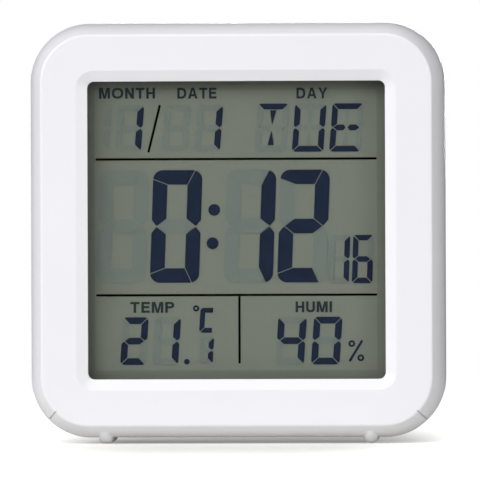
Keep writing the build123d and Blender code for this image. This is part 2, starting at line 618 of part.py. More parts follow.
# Each row: a character, its place, and the segments that are switched on
shown = (
    (time_digit, (TIME_COLUMNS[0], TIME_ROW), ""),
    (time_digit, (TIME_COLUMNS[1], TIME_ROW), "abcdef"),
    (time_digit, (TIME_COLUMNS[2], TIME_ROW), "bc"),
    (time_digit, (TIME_COLUMNS[3], TIME_ROW), "abged"),
    (seconds_digit, (SECONDS_COLUMNS[0], SECONDS_ROW), "bc"),
    (seconds_digit, (SECONDS_COLUMNS[1], SECONDS_ROW), "acdefg"),
    (month_tens, (MONTH_COLUMNS[0], DATE_ROW), ""),
    (date_digit, (MONTH_COLUMNS[1], DATE_ROW), "bc"),
    (date_digit, (DATE_COLUMNS[0], DATE_ROW), ""),
    (date_digit, (DATE_COLUMNS[1], DATE_ROW), "bc"),
    (day_letter, (DAY_COLUMNS[0], DATE_ROW), "ail"),
    (day_letter, (DAY_COLUMNS[1], DATE_ROW), "bcdef"),
    (day_letter, (DAY_COLUMNS[2], DATE_ROW), "adefgG"),
    (temperature_digit, (TEMPERATURE_COLUMNS[0], VALUE_ROW), "abged"),
    (temperature_digit, (TEMPERATURE_COLUMNS[1], VALUE_ROW), "bc"),
    (tenths_digit, TENTHS_PLACE, "bc"),
    (celsius_letter, CELSIUS_PLACE, "dC"),
    (humidity_digit, (HUMIDITY_COLUMNS[0], VALUE_ROW), "bcfg"),
    (humidity_digit, (HUMIDITY_COLUMNS[1], VALUE_ROW), "abcdef"),
)


def artwork(*places):
    """Places on the display, from the units that they are drawn in."""
    return [Vector(*place) * ARTWORK_UNIT for place in places]


dark_faces = []
clear_faces = []
for segments, place, lit in shown:
    for name, face in segments.items():
        (dark_faces if name in lit else clear_faces).append(face.moved(Location(*artwork(place))))

with BuildPart() as lcd_dark_segments:
    with BuildSketch(at_depth(CRYSTAL_DEPTH)):
        add(dark_faces)
        with Locations(*artwork(*COLON_PLACES)):
            Circle(COLON_RADIUS * ARTWORK_UNIT)
        with Locations(*artwork(POINT_PLACE)):
            Circle(POINT_RADIUS * ARTWORK_UNIT)
        with Locations(*artwork(DEGREE_PLACE)):
            Circle(DEGREE_RADIUS * ARTWORK_UNIT)
            Circle((DEGREE_RADIUS - RING_STROKE) * ARTWORK_UNIT, mode=Mode.SUBTRACT)
        with Locations(*artwork(*PERCENT_RINGS)):
            Circle(PERCENT_RADIUS * ARTWORK_UNIT)
            Circle((PERCENT_RADIUS - RING_STROKE) * ARTWORK_UNIT, mode=Mode.SUBTRACT)
        with Locations(*artwork(PERCENT_BAR_PLACE)):
            SlotOverall(
                PERCENT_BAR_LENGTH * ARTWORK_UNIT,
                PERCENT_BAR_WIDTH * ARTWORK_UNIT,
                rotation=PERCENT_BAR_ANGLE,
            )
    extrude(amount=-CRYSTAL_THICKNESS)
finish(lcd_dark_segments, "lcd_dark_segments")

with BuildPart() as lcd_clear_segments:
    with BuildSketch(at_depth(CRYSTAL_DEPTH)):
        add(clear_faces)
    extrude(amount=-CRYSTAL_THICKNESS)
finish(lcd_clear_segments, "lcd_clear_segments")

# Elastomer connector from the ledge of the front glass to the board, and a foam pad at the other end
with BuildPart() as zebra_strip:
    with BuildSketch(at_depth(CRYSTAL_DEPTH, z=(ZEBRA_WIDTH - GLASS_HEIGHT) / 2 + ZEBRA_INSET)):
        Rectangle(ZEBRA_LENGTH, ZEBRA_WIDTH)
    extrude(amount=CRYSTAL_DEPTH - BOARD_DEPTH)
finish(zebra_strip, "zebra_strip")

with BuildPart() as lcd_support_pad:
    with BuildSketch(at_depth(PAD_DEPTH, z=GLASS_HEIGHT / 2 - PAD_INSET)):
        Rectangle(PAD_LENGTH, PAD_WIDTH)
    extrude(amount=PAD_DEPTH - BOARD_DEPTH)
finish(lcd_support_pad, "lcd_support_pad")

# Circuit board, screwed to the posts of the front case
with BuildPart() as main_board:
    with BuildSketch(at_depth(BOARD_DEPTH)):
        Rectangle(BOARD_WIDTH, BOARD_HEIGHT)
        with GridLocations(BOARD_WIDTH, BOARD_HEIGHT, 2, 2):
            Rectangle(
                BOARD_WIDTH - 2 * (BOSS_X - BOSS_RADIUS - BOARD_CLEARANCE),
                BOARD_HEIGHT - 2 * (BOSS_Z - BOSS_RADIUS - BOARD_CLEARANCE),
                mode=Mode.SUBTRACT,
            )
        with GridLocations(2 * POST_X, 2 * POST_SPREAD, 2, 2):
            Circle(SCREW_RADIUS + SCREW_CLEARANCE, mode=Mode.SUBTRACT)
    extrude(amount=-BOARD_THICKNESS)
finish(main_board, "main_board")


def screws(places, seat, shank):
    """Pan-head screws with their heads on a face at one depth, driven from the back."""
    with BuildPart() as group:
        with BuildSketch(at_depth(seat)):
            with Locations(*places):
                Circle(SCREW_HEAD_RADIUS)
        extrude(amount=-SCREW_HEAD_HEIGHT)
        fillet(group.faces().group_by(Axis.Y)[-1].edges(), SCREW_HEAD_ROUND)
        with BuildSketch(at_depth(seat)):
            with Locations(*places):
                Circle(SCREW_RADIUS)
        extrude(amount=shank)
        with BuildSketch(at_depth(seat + SCREW_HEAD_HEIGHT)):
            with Locations(*places):
                Rectangle(SCREW_CROSS_LENGTH, SCREW_CROSS_WIDTH)
                Rectangle(SCREW_CROSS_WIDTH, SCREW_CROSS_LENGTH)
        extrude(amount=SCREW_CROSS_DEPTH, mode=Mode.SUBTRACT)
    return group


post_places = [(x, z) for x in (-POST_X, POST_X) for z in (-POST_SPREAD, POST_SPREAD)]
finish(screws(post_places, BOARD_BACK, BOARD_THICKNESS + BOARD_SCREW_GRIP), "board_screws")


def board_side(x, z):
    """A plane through a place on the back of the board: first axis across, second away from the board."""
    return Plane(
        origin=(x, BOARD_BACK - CASE_DEPTH / 2, CENTRE_HEIGHT + z), x_dir=(1, 0, 0), z_dir=(0, 0, 1)
    )


with BuildPart() as chip_blob:
    with BuildSketch(board_side(*BLOB_PLACE)) as blob_half:
        with BuildLine():
            Polyline((0, BLOB_HEIGHT), (0, 0), (BLOB_RADIUS, 0))
            TangentArc((0, BLOB_HEIGHT), (BLOB_RADIUS, 0), tangent=(1, 0))
        make_face()
    revolve(axis=Axis(board_side(*BLOB_PLACE).origin, (0, 1, 0)))
finish(chip_blob, "chip_blob")

# Quartz crystal: a can lying on the board, its two leads bent down into it
can_end = CRYSTAL_PLACE[0] - CRYSTAL_CAN_LENGTH / 2
can_y = BOARD_BACK + CRYSTAL_CAN_RADIUS - CASE_DEPTH / 2
with BuildPart() as quartz_crystal:
    with BuildSketch(Plane((can_end, can_y, CENTRE_HEIGHT + CRYSTAL_PLACE[1]), z_dir=(1, 0, 0))):
        Circle(CRYSTAL_CAN_RADIUS)
    extrude(amount=CRYSTAL_CAN_LENGTH)
    for z in (-CRYSTAL_LEAD_PITCH / 2, CRYSTAL_LEAD_PITCH / 2):
        lead_z = CENTRE_HEIGHT + CRYSTAL_PLACE[1] + z
        lead_end = can_end - CRYSTAL_LEAD_REACH
        with BuildLine() as can_lead:
            FilletPolyline(
                (can_end + CRYSTAL_LEAD_REACH / 2, can_y, lead_z),
                (lead_end, can_y, lead_z),
                (lead_end, can_y - CRYSTAL_CAN_RADIUS, lead_z),
                radius=CRYSTAL_CAN_RADIUS / 2,
            )
        with BuildSketch(Plane(can_lead.line @ 0, z_dir=can_lead.line % 0)):
            Circle(CRYSTAL_LEAD_RADIUS)
        sweep()
finish(quartz_crystal, "quartz_crystal")

with BuildPart() as chip_capacitors:
    with BuildSketch(at_depth(BOARD_BACK)):
        with Locations(CAPACITOR_PLACE):
            with GridLocations(CHIP_PITCH, CHIP_PITCH, 3, 2):
                Rectangle(CHIP_LENGTH, CHIP_WIDTH)
    extrude(amount=-CAPACITOR_HEIGHT)
finish(chip_capacitors, "chip_capacitors")

with BuildPart() as chip_resistors:
    with BuildSketch(at_depth(BOARD_BACK)):
        with Locations(RESISTOR_PLACE):
            with GridLocations(CHIP_PITCH, CHIP_PITCH, 3, 2):
                Rectangle(CHIP_LENGTH, CHIP_WIDTH)
    extrude(amount=-RESISTOR_HEIGHT)
finish(chip_resistors, "chip_resistors")

# Sensors behind the vent slots, and the buzzer behind the sound slots
with BuildPart() as thermistor:
    with BuildSketch(at_depth(BOARD_BACK, VENT_X - SENSOR_SPREAD, VENT_ROW)):
        with GridLocations(BEAD_LEAD_PITCH, 0, 2, 1):
            Circle(BEAD_LEAD_RADIUS)
    extrude(amount=-BEAD_STANDOFF)
    with Locations(at_depth(BOARD_BACK + BEAD_STANDOFF, VENT_X - SENSOR_SPREAD, VENT_ROW).location):
        Sphere(BEAD_RADIUS)
finish(thermistor, "thermistor")

with BuildPart() as humidity_sensor:
    with BuildSketch(at_depth(BOARD_BACK, VENT_X + SENSOR_SPREAD, VENT_ROW)):
        with GridLocations(HUMIDITY_PLATE_WIDTH / 2, 0, 2, 1):
            Circle(HUMIDITY_PIN_RADIUS)
    extrude(amount=-HUMIDITY_PIN_LENGTH - HUMIDITY_PLATE_THICKNESS)
    with BuildSketch(at_depth(BOARD_BACK + HUMIDITY_PIN_LENGTH, VENT_X + SENSOR_SPREAD, VENT_ROW)):
        Rectangle(HUMIDITY_PLATE_WIDTH, HUMIDITY_PLATE_THICKNESS)
    extrude(amount=-HUMIDITY_PLATE_HEIGHT)
finish(humidity_sensor, "humidity_sensor")

with BuildPart() as alarm_buzzer:
    with BuildSketch(at_depth(BOARD_BACK, -VENT_X, VENT_ROW)):
        Circle(BUZZER_RADIUS)
    extrude(amount=-BUZZER_HEIGHT)
    fillet(alarm_buzzer.faces().sort_by(Axis.Y)[-1].edges(), BUZZER_EDGE_RADIUS)
    with BuildSketch(at_depth(BOARD_BACK + BUZZER_HEIGHT, -VENT_X, VENT_ROW)):
        Circle(BUZZER_HOLE_RADIUS)
    extrude(amount=BUZZER_HOLE_DEPTH, mode=Mode.SUBTRACT)
finish(alarm_buzzer, "alarm_buzzer")

# Tactile switches, their plungers, and the buttons that press them
switch_places = [(x, BUTTON_ROW) for x in BUTTON_COLUMNS]
with BuildPart() as switch_housings:
    with BuildSketch(at_depth(BOARD_BACK)):
        with Locations(*switch_places):
            Rectangle(SWITCH_SIDE, SWITCH_SIDE)
    extrude(amount=-SWITCH_HEIGHT)
    with BuildSketch(at_depth(BOARD_BACK + SWITCH_HEIGHT)):
        with Locations(*switch_places):
            Circle(PLUNGER_RADIUS + PLUNGER_CLEARANCE)
    extrude(amount=PLUNGER_DEPTH + BUTTON_TRAVEL + PLUNGER_END_GAP, mode=Mode.SUBTRACT)
finish(switch_housings, "switch_housings")

plunger_top = BOARD_BACK + SWITCH_HEIGHT + PLUNGER_PROUD
flange_back = COVER_INSIDE - BUTTON_SEAT_GAP
crown_top = PANEL_DEPTH + BUTTON_PROUD
for name, column in zip(BUTTON_NAMES, BUTTON_COLUMNS):
    with BuildPart() as plunger:
        with BuildSketch(at_depth(plunger_top, column, BUTTON_ROW)):
            Circle(PLUNGER_RADIUS)
        extrude(amount=PLUNGER_PROUD + PLUNGER_DEPTH)
    finish(plunger, f"{name}_switch_plunger")
    with BuildPart() as button:
        with BuildSketch(at_depth(crown_top, column, BUTTON_ROW)):
            Circle(BUTTON_RADIUS)
        extrude(amount=crown_top - flange_back)
        fillet(button.faces().sort_by(Axis.Y)[-1].edges(), BUTTON_CROWN_RADIUS)
        with BuildSketch(at_depth(flange_back, column, BUTTON_ROW)):
            Circle(BUTTON_RADIUS + BUTTON_FLANGE_WIDTH)
        extrude(amount=BUTTON_FLANGE_THICKNESS)
        with BuildSketch(at_depth(flange_back, column, BUTTON_ROW)):
            Circle(STEM_RADIUS)
        extrude(amount=flange_back - plunger_top)
    finish(button, f"{name}_button")

# Rear cover
seam_back = SEAM_DEPTH + SEAM_GAP
foot_back = CASE_DEPTH - REAR_EDGE_RADIUS
rear_feet = runner_feet(seam_back, foot_back - FOOT_NOSE, foot_back)
lip_out = -CASE_WALL - LIP_CLEARANCE
cover_overlap = REAR_DRAFT + REAR_EDGE_RADIUS + CASE_WALL / 2
with BuildSketch(wall_plane) as rear_wall:
    with BuildLine():
        Polyline(
            (0, seam_back),
            (-REAR_DRAFT, CASE_DEPTH),
            (-cover_overlap - CASE_WALL / 2, CASE_DEPTH),
            (-cover_overlap - CASE_WALL / 2, COVER_INSIDE),
            (-REAR_DRAFT - CASE_WALL, COVER_INSIDE),
            (lip_out - LIP_THICKNESS, seam_back + LIP_DEPTH),
            (lip_out - LIP_THICKNESS, SEAM_DEPTH - LIP_DEPTH),
            (lip_out, SEAM_DEPTH - LIP_DEPTH),
            (lip_out, seam_back),
            close=True,
        )
    make_face()
    fillet(rear_wall.vertices().sort_by_distance((-REAR_DRAFT, CASE_DEPTH))[0], REAR_EDGE_RADIUS)
boss_places = [(x, z) for x in (-BOSS_X, BOSS_X) for z in (-BOSS_Z, BOSS_Z)]
well_floor = seam_back + WELL_FLOOR
tab_back = DOOR_DEPTH + TAB_THICKNESS
bay_bottom_edge = BAY_Z - BAY_HEIGHT / 2
notch_bottom = DOOR_BOTTOM - TAB_REACH - TAB_CLEARANCE
with BuildPart() as rear_cover:
    sweep(rear_wall.sketch, path=case_outline)
    with BuildSketch(at_depth(CASE_DEPTH)):
        RectangleRounded(
            CASE_WIDTH - 2 * cover_overlap,
            CASE_HEIGHT - 2 * cover_overlap,
            CASE_CORNER_RADIUS - cover_overlap,
        )
    extrude(amount=REAR_THICKNESS)
    with BuildSketch(at_depth(COVER_INSIDE)):
        with Locations(*boss_places):
            Circle(SCREW_HEAD_RADIUS + WELL_CLEARANCE + WELL_WALL)
    extrude(amount=COVER_INSIDE - seam_back)
    with BuildSketch(at_depth(COVER_INSIDE, z=BAY_Z)):
        Rectangle(BAY_LENGTH + 2 * BAY_WALL, BAY_HEIGHT + 2 * BAY_WALL)
    extrude(amount=COVER_INSIDE - BAY_BOTTOM)
    add(rear_feet)
    # Room for the bosses of the front case inside the lip
    with BuildSketch(at_depth(seam_back)):
        with Locations(*boss_places):
            Circle(BOSS_RADIUS + LIP_CLEARANCE)
    extrude(amount=LIP_DEPTH + SEAM_GAP, mode=Mode.SUBTRACT)
    # Screw wells
    with BuildSketch(at_depth(CASE_DEPTH)):
        with Locations(*boss_places):
            Circle(SCREW_HEAD_RADIUS + WELL_CLEARANCE)
    extrude(amount=CASE_DEPTH - well_floor, mode=Mode.SUBTRACT)
    with BuildSketch(at_depth(well_floor)):
        with Locations(*boss_places):
            Circle(SCREW_RADIUS + SCREW_CLEARANCE)
    extrude(amount=well_floor - seam_back, mode=Mode.SUBTRACT)
    # Battery bay, the rebate for its door, and slots for the door tabs and the contact tails
    with BuildSketch(at_depth(CASE_DEPTH, z=BAY_Z)):
        Rectangle(BAY_LENGTH, BAY_HEIGHT)
    extrude(amount=CASE_DEPTH - BAY_DEPTH, mode=Mode.SUBTRACT)
    with BuildSketch(at_depth(CASE_DEPTH, z=BAY_Z)):
        RectangleRounded(
            DOOR_WIDTH + 2 * DOOR_GAP, DOOR_HEIGHT + 2 * DOOR_GAP, DOOR_CORNER_RADIUS + DOOR_GAP
        )
    extrude(amount=DOOR_THICKNESS, mode=Mode.SUBTRACT)
    with BuildSketch(at_depth(tab_back + TAB_CLEARANCE, z=(bay_bottom_edge + notch_bottom) / 2)):
        with GridLocations(TAB_SPACING, 0, 2, 1):
            Rectangle(TAB_WIDTH + 2 * TAB_CLEARANCE, bay_bottom_edge - notch_bottom)
    extrude(amount=tab_back + TAB_CLEARANCE - COVER_INSIDE, mode=Mode.SUBTRACT)
    with BuildSketch(at_depth(BAY_DEPTH, (BAY_LENGTH - CONTACT_THICKNESS) / 2, BAY_Z)):
        with GridLocations(0, 2 * CELL_OFFSET, 1, 2):
            Rectangle(
                CONTACT_THICKNESS + 2 * CONTACT_TAIL_CLEARANCE,
                CONTACT_TAIL_WIDTH + 2 * CONTACT_TAIL_CLEARANCE,
            )
    extrude(amount=BAY_FLOOR, mode=Mode.SUBTRACT)
    # Finger scoop over the tongue of the door
    with BuildSketch(
        Plane(
            origin=(-SCOOP_LENGTH / 2, CASE_DEPTH / 2 + SCOOP_RADIUS - SCOOP_DEPTH, CENTRE_HEIGHT + DOOR_TOP),
            z_dir=(1, 0, 0),
        )
    ):
        Circle(SCOOP_RADIUS)
    extrude(amount=SCOOP_LENGTH, mode=Mode.SUBTRACT)
    # Button panel with its holes, sensor vent and sound slots
    with BuildSketch(at_depth(CASE_DEPTH, z=BUTTON_ROW)):
        SlotOverall(PANEL_WIDTH, PANEL_HEIGHT)
    extrude(amount=PANEL_RECESS, mode=Mode.SUBTRACT)
    with BuildSketch(at_depth(CASE_DEPTH)):
        with Locations(*switch_places):
            Circle(BUTTON_RADIUS + BUTTON_CLEARANCE)
        for x in (-VENT_X, VENT_X):
            with Locations((x, VENT_ROW)):
                with GridLocations(0, VENT_PITCH, 1, VENT_COUNT):
                    SlotOverall(VENT_LENGTH, VENT_WIDTH)
    extrude(amount=REAR_THICKNESS, mode=Mode.SUBTRACT)
finish(rear_cover, "rear_cover")

finish(screws(boss_places, well_floor, well_floor - SEAM_DEPTH + CASE_SCREW_GRIP), "case_screws")

# Battery door: a panel with two tabs at its foot and a ribbed tongue at its top
tongue_middle = DOOR_TOP - TONGUE_LENGTH / 2
rib_middle = DOOR_TOP - TONGUE_LENGTH / 2
with BuildPart() as battery_door:
    with BuildSketch(at_depth(CASE_DEPTH, z=BAY_Z)):
        RectangleRounded(DOOR_WIDTH, DOOR_HEIGHT, DOOR_CORNER_RADIUS)
    extrude(amount=DOOR_THICKNESS)
    with BuildSketch(at_depth(tab_back, z=DOOR_BOTTOM - TAB_REACH / 2 + TAB_THICKNESS / 2)):
        with GridLocations(TAB_SPACING, 0, 2, 1):
            Rectangle(TAB_WIDTH, TAB_REACH + TAB_THICKNESS)
    extrude(amount=TAB_THICKNESS)
    with BuildSketch(at_depth(CASE_DEPTH)):
        for x in (-TONGUE_WIDTH / 2, TONGUE_WIDTH / 2):
            with Locations((x, tongue_middle)):
                Rectangle(TONGUE_SLOT, TONGUE_LENGTH)
    extrude(amount=DOOR_THICKNESS, mode=Mode.SUBTRACT)
    with BuildSketch(at_depth(CASE_DEPTH, z=rib_middle)):
        with GridLocations(0, GRIP_RIB_PITCH, 1, GRIP_RIB_COUNT):
            SlotOverall(GRIP_RIB_LENGTH, GRIP_RIB_WIDTH)
    extrude(amount=GRIP_RIB_HEIGHT, mode=Mode.SUBTRACT)
    with BuildSketch(at_depth(DOOR_DEPTH, z=DOOR_TOP)):
        Rectangle(TONGUE_NIB_WIDTH, 2 * TONGUE_NIB_REACH)
    extrude(amount=-TAB_THICKNESS)
finish(battery_door, "battery_door")

# Two cells side by side, head to tail, with their contacts and springs
for name, side in (("upper", 1), ("lower", -1)):
    contact_face = side * (BAY_LENGTH / 2 - CONTACT_THICKNESS)
    shoulder = contact_face - side * CELL_NUB_LENGTH
    axis_y = CELL_DEPTH - CASE_DEPTH / 2
    axis_z = CENTRE_HEIGHT + BAY_Z + side * CELL_OFFSET
    with BuildPart() as cell:
        with BuildSketch(Plane((shoulder, axis_y, axis_z), z_dir=(-side, 0, 0))):
            Circle(CELL_RADIUS)
        extrude(amount=CELL_LENGTH - CELL_NUB_LENGTH)
        fillet(cell.edges().filter_by(GeomType.CIRCLE), CELL_EDGE_RADIUS)
        with BuildSketch(Plane((contact_face, axis_y, axis_z), z_dir=(-side, 0, 0))):
            Circle(CELL_NUB_RADIUS)
        extrude(amount=CELL_NUB_LENGTH + CELL_EDGE_RADIUS)
    finish(cell, f"{name}_cell")


def contact_plate(x, z, width, tailed):
    """A flat contact that stands on the floor of the bay, with or without a tail through the floor."""
    with BuildPart() as plate:
        with BuildSketch(at_depth(BAY_DEPTH, x, z)):
            Rectangle(CONTACT_THICKNESS, width)
        extrude(amount=-CONTACT_HEIGHT)
        if tailed:
            with BuildSketch(at_depth(BAY_DEPTH, x, z)):
                Rectangle(CONTACT_THICKNESS, CONTACT_TAIL_WIDTH)
            extrude(amount=BAY_FLOOR + CONTACT_TAIL_REACH)
    return plate


contact_x = (BAY_LENGTH - CONTACT_THICKNESS) / 2
finish(contact_plate(contact_x, BAY_Z + CELL_OFFSET, CONTACT_WIDTH, True), "positive_contact")
finish(contact_plate(contact_x, BAY_Z - CELL_OFFSET, CONTACT_WIDTH, True), "negative_contact")
finish(contact_plate(-contact_x, BAY_Z, CONTACT_WIDTH + 2 * CELL_OFFSET, False), "bridge_contact")


def spring_point(turn):
    """Middle of the spring wire after some turns, on a plane through the base of the spring."""
    share = turn / SPRING_TURNS
    radius = SPRING_BASE_RADIUS + (SPRING_TIP_RADIUS - SPRING_BASE_RADIUS) * share
    rise = SPRING_LENGTH - 2 * (SPRING_WIRE_RADIUS + SPRING_SEAT_GAP)
    angle = 2 * math.pi * turn
    along = SPRING_WIRE_RADIUS + SPRING_SEAT_GAP + rise * share
    return Vector(radius * math.cos(angle), radius * math.sin(angle), along)


def spring_direction(turn):
    """Direction of the spring wire there."""
    slope = (SPRING_TIP_RADIUS - SPRING_BASE_RADIUS) / SPRING_TURNS
    radius = SPRING_BASE_RADIUS + slope * turn
    rise = (SPRING_LENGTH - 2 * (SPRING_WIRE_RADIUS + SPRING_SEAT_GAP)) / SPRING_TURNS
    angle = 2 * math.pi * turn
    across = 2 * math.pi * radius
    return Vector(
        slope * math.cos(angle) - across * math.sin(angle),
        slope * math.sin(angle) + across * math.cos(angle),
        rise,
    ).normalized()


def conical_spring(plane):
    """A conical wire spring on a plane, its wire an unbroken chain of arc pairs, two to each quarter turn."""
    steps = round(4 * SPRING_TURNS)
    turns = [SPRING_TURNS * i / steps for i in range(steps + 1)]
    points = [spring_point(turn) for turn in turns]
    directions = [spring_direction(turn) for turn in turns]
    with BuildPart() as spring:
        with BuildLine() as wire:
            for i in range(steps):
                chord = points[i + 1] - points[i]
                both = directions[i] + directions[i + 1]
                bend = 2 * (1 - directions[i].dot(directions[i + 1]))
                pull = chord.dot(both)
                reach = (math.sqrt(pull**2 + bend * chord.dot(chord)) - pull) / bend
                before = points[i] + directions[i] * reach
                after = points[i + 1] - directions[i + 1] * reach
                places = (points[i], before, (before + after) / 2, after, points[i + 1])
                start, before, middle, after, end = (plane.from_local_coords(p) for p in places)
                TangentArc(start, middle, tangent=before - start)
                TangentArc(middle, end, tangent=after - before)
        with BuildSketch(Plane(wire.line @ 0, z_dir=wire.line % 0)):
            Circle(SPRING_WIRE_RADIUS)
        sweep()
    return spring


spring_x = BAY_LENGTH / 2 - CONTACT_THICKNESS
spring_y = CELL_DEPTH - CASE_DEPTH / 2
spring_z = CENTRE_HEIGHT + BAY_Z
negative_base = Plane((spring_x, spring_y, spring_z - CELL_OFFSET), z_dir=(-1, 0, 0))
bridge_base = Plane((-spring_x, spring_y, spring_z + CELL_OFFSET), z_dir=(1, 0, 0))
finish(conical_spring(negative_base), "negative_spring")
finish(conical_spring(bridge_base), "bridge_spring")

# Leads from the contact tails to the board
for name, side in (("red", 1), ("black", -1)):
    lead_x = BAY_LENGTH / 2 - CONTACT_THICKNESS
    lead_y = BAY_BOTTOM - CONTACT_TAIL_REACH / 2 - CASE_DEPTH / 2
    lead_z = CENTRE_HEIGHT + BAY_Z + side * CELL_OFFSET
    with BuildPart() as lead:
        with BuildLine() as run:
            FilletPolyline(
                (lead_x, lead_y, lead_z),
                (lead_x - LEAD_REACH, lead_y, lead_z),
                (lead_x - LEAD_REACH, BOARD_BACK - CASE_DEPTH / 2, lead_z),
                radius=LEAD_BEND_RADIUS,
            )
        with BuildSketch(Plane(run.line @ 0, z_dir=run.line % 0)):
            Circle(LEAD_RADIUS)
        sweep()
    finish(lead, f"{name}_lead")

# Least space between neighbouring turns of a spring
SPRING_SAMPLES = 400
samples = [spring_point(SPRING_TURNS * i / SPRING_SAMPLES) for i in range(SPRING_SAMPLES + 1)]
half_turn = round(SPRING_SAMPLES / SPRING_TURNS / 2)
nearest = min((b - a).length for i, a in enumerate(samples) for b in samples[i + half_turn :])
print(f"least gap between spring turns {nearest - 2 * SPRING_WIRE_RADIUS:.2f} mm")
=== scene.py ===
"""Looks of a square table clock that shows the time, date, temperature and humidity.

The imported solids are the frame: they keep their places and get their finishes here. New pieces are the
printing on the display, the film behind its contact ledge and the words under the buttons at the back.
Metres, in the frame of the solids: +Z is up and the display faces -Y.
"""

import math

import bpy
import numpy as np
from bpy.props import FloatProperty, FloatVectorProperty, PointerProperty
from mathutils import Matrix, Vector


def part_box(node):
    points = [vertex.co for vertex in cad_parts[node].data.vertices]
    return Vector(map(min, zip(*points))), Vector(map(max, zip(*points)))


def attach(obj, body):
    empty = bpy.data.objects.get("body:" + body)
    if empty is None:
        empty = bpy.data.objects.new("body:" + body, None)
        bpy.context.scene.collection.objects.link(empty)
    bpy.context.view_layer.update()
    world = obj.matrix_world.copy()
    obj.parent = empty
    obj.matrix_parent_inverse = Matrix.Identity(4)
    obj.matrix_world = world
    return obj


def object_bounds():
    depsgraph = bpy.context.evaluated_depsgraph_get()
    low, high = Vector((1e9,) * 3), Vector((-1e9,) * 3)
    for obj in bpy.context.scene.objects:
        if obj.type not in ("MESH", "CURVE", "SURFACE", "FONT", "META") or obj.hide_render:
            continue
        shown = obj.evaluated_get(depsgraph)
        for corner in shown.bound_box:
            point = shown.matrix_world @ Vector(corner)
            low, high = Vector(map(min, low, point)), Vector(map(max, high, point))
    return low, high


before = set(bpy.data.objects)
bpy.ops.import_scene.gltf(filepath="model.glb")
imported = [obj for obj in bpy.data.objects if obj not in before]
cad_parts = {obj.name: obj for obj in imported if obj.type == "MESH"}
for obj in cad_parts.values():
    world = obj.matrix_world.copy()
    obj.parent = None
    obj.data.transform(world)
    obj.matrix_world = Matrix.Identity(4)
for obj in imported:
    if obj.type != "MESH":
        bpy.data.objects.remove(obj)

bl_info = {
    "name": "Table clock with thermometer and hygrometer",
    "version": (1, 0, 0),
    "blender": (4, 5, 0),
    "location": "3D View > Sidebar > Clock",
    "description": "Finishes, display printing and studio for a square table clock",
    "category": "Object",
}

MM = 0.001
CAD_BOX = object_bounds()
BODY = "clock"
FILM_REACH = (27.25 * MM, 27.05 * MM)  # half the width and half the height of the display's film
FILM_SHIFT = 0.3 * MM  # how far the film lies to the left of the middle
PRINT_SKIN = 0.2  # share of the segments' layer that stays free on both sides of the printing
ACRYLIC_IOR = 1.45
BUTTON_WORDS = {"mode_button": "MODE", "set_button": "SET", "up_button": "UP", "down_button": "DOWN"}
LETTER_GAP = 0.165  # between two letters, as a share of their height
# Which way a flat word is turned: the rows say where its own X, Y and Z go
TO_FRONT = np.array([[1, 0, 0], [0, 0, 1], [0, -1, 0]])
TO_BACK = np.array([[-1, 0, 0], [0, 0, 1], [0, 1, 0]])
BLACK = (0.0, 0.0, 0.0)
WHITE = (1.0, 1.0, 1.0)
# Colours of the small parts, which a user would hardly change
SHADES = {
    "pane": (0.9, 0.92, 0.92),
    "film": (0.30, 0.33, 0.28),
    "glass": (0.25, 0.32, 0.28),
    "reflector": (0.40, 0.42, 0.38),
    "tape": (0.02, 0.02, 0.02),
    "foam": (0.025, 0.025, 0.025),
    "elastomer": (0.012, 0.012, 0.014),
    "plunger": (0.02, 0.02, 0.022),
    "switch": (0.02, 0.02, 0.02),
    "epoxy": (0.010, 0.010, 0.011),
    "tin": (0.55, 0.55, 0.54),
    "capacitor": (0.42, 0.29, 0.17),
    "resistor": (0.02, 0.02, 0.022),
    "bead": (0.14, 0.045, 0.02),
    "sensor": (0.08, 0.17, 0.40),
    "buzzer": (0.018, 0.018, 0.019),
    "negative_lead": (0.015, 0.015, 0.016),
}


def middle(node):
    """Middle of a solid's box."""
    low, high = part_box(node)
    return (low + high) / 2


# What a user may change


def colour(name, description, default):
    return FloatVectorProperty(
        name=name, description=description, subtype="COLOR", size=3, min=0.0, max=1.0, default=default
    )


def length(name, description, default):
    return FloatProperty(
        name=name, description=description, subtype="DISTANCE", unit="LENGTH", min=0.0, default=default
    )


def factor(name, description, default):
    return FloatProperty(
        name=name, description=description, subtype="FACTOR", min=0.0, max=1.0, default=default
    )


def angle(name, description, degrees):
    return FloatProperty(
        name=name, description=description, subtype="ANGLE", unit="ROTATION", default=math.radians(degrees)
    )


def power(name, description, default):
    return FloatProperty(name=name, description=description, unit="POWER", min=0.0, default=default)


class ClockCase(bpy.types.PropertyGroup):
    plastic: colour("Plastic", "Colour of the moulded case", (0.80, 0.797, 0.837))
    roughness: factor("Roughness", "How matt the case is", 0.36)
    grain: length("Grain", "Width of the fine grain of the mould", 0.22 * MM)
    button: colour("Buttons", "Colour of the buttons at the back", (0.42, 0.43, 0.45))
    wording: colour("Wording", "Colour of the words under the buttons", (0.10, 0.105, 0.115))
    word_height: length("Word height", "Height of the words under the buttons", 1.35 * MM)


class ClockDisplay(bpy.types.PropertyGroup):
    ground: colour("Ground", "Colour of the display behind its segments", (0.182, 0.207, 0.172))
    unlit: colour("Unlit segments", "Colour of the segments that are off", (0.157, 0.189, 0.173))
    ink: colour("Lit segments", "Colour of the segments that are on", (0.0158, 0.0240, 0.0475))
    wording: colour("Wording", "Colour of the printed words", (0.0250, 0.0370, 0.0430))
    line: colour("Lines", "Colour of the printed lines", (0.0015, 0.0015, 0.0018))
    line_width: length("Line width", "Width of the dividing lines", 0.43 * MM)
    # Painted shade: how far the margin round the film darkens the display's ground, standing for the bezel's
    # shade
    margin: factor("Margin", "How much darker the margin round the film is", 0.16)
    pane: factor("Pane", "How much the clear pane shows of itself", 0.3)


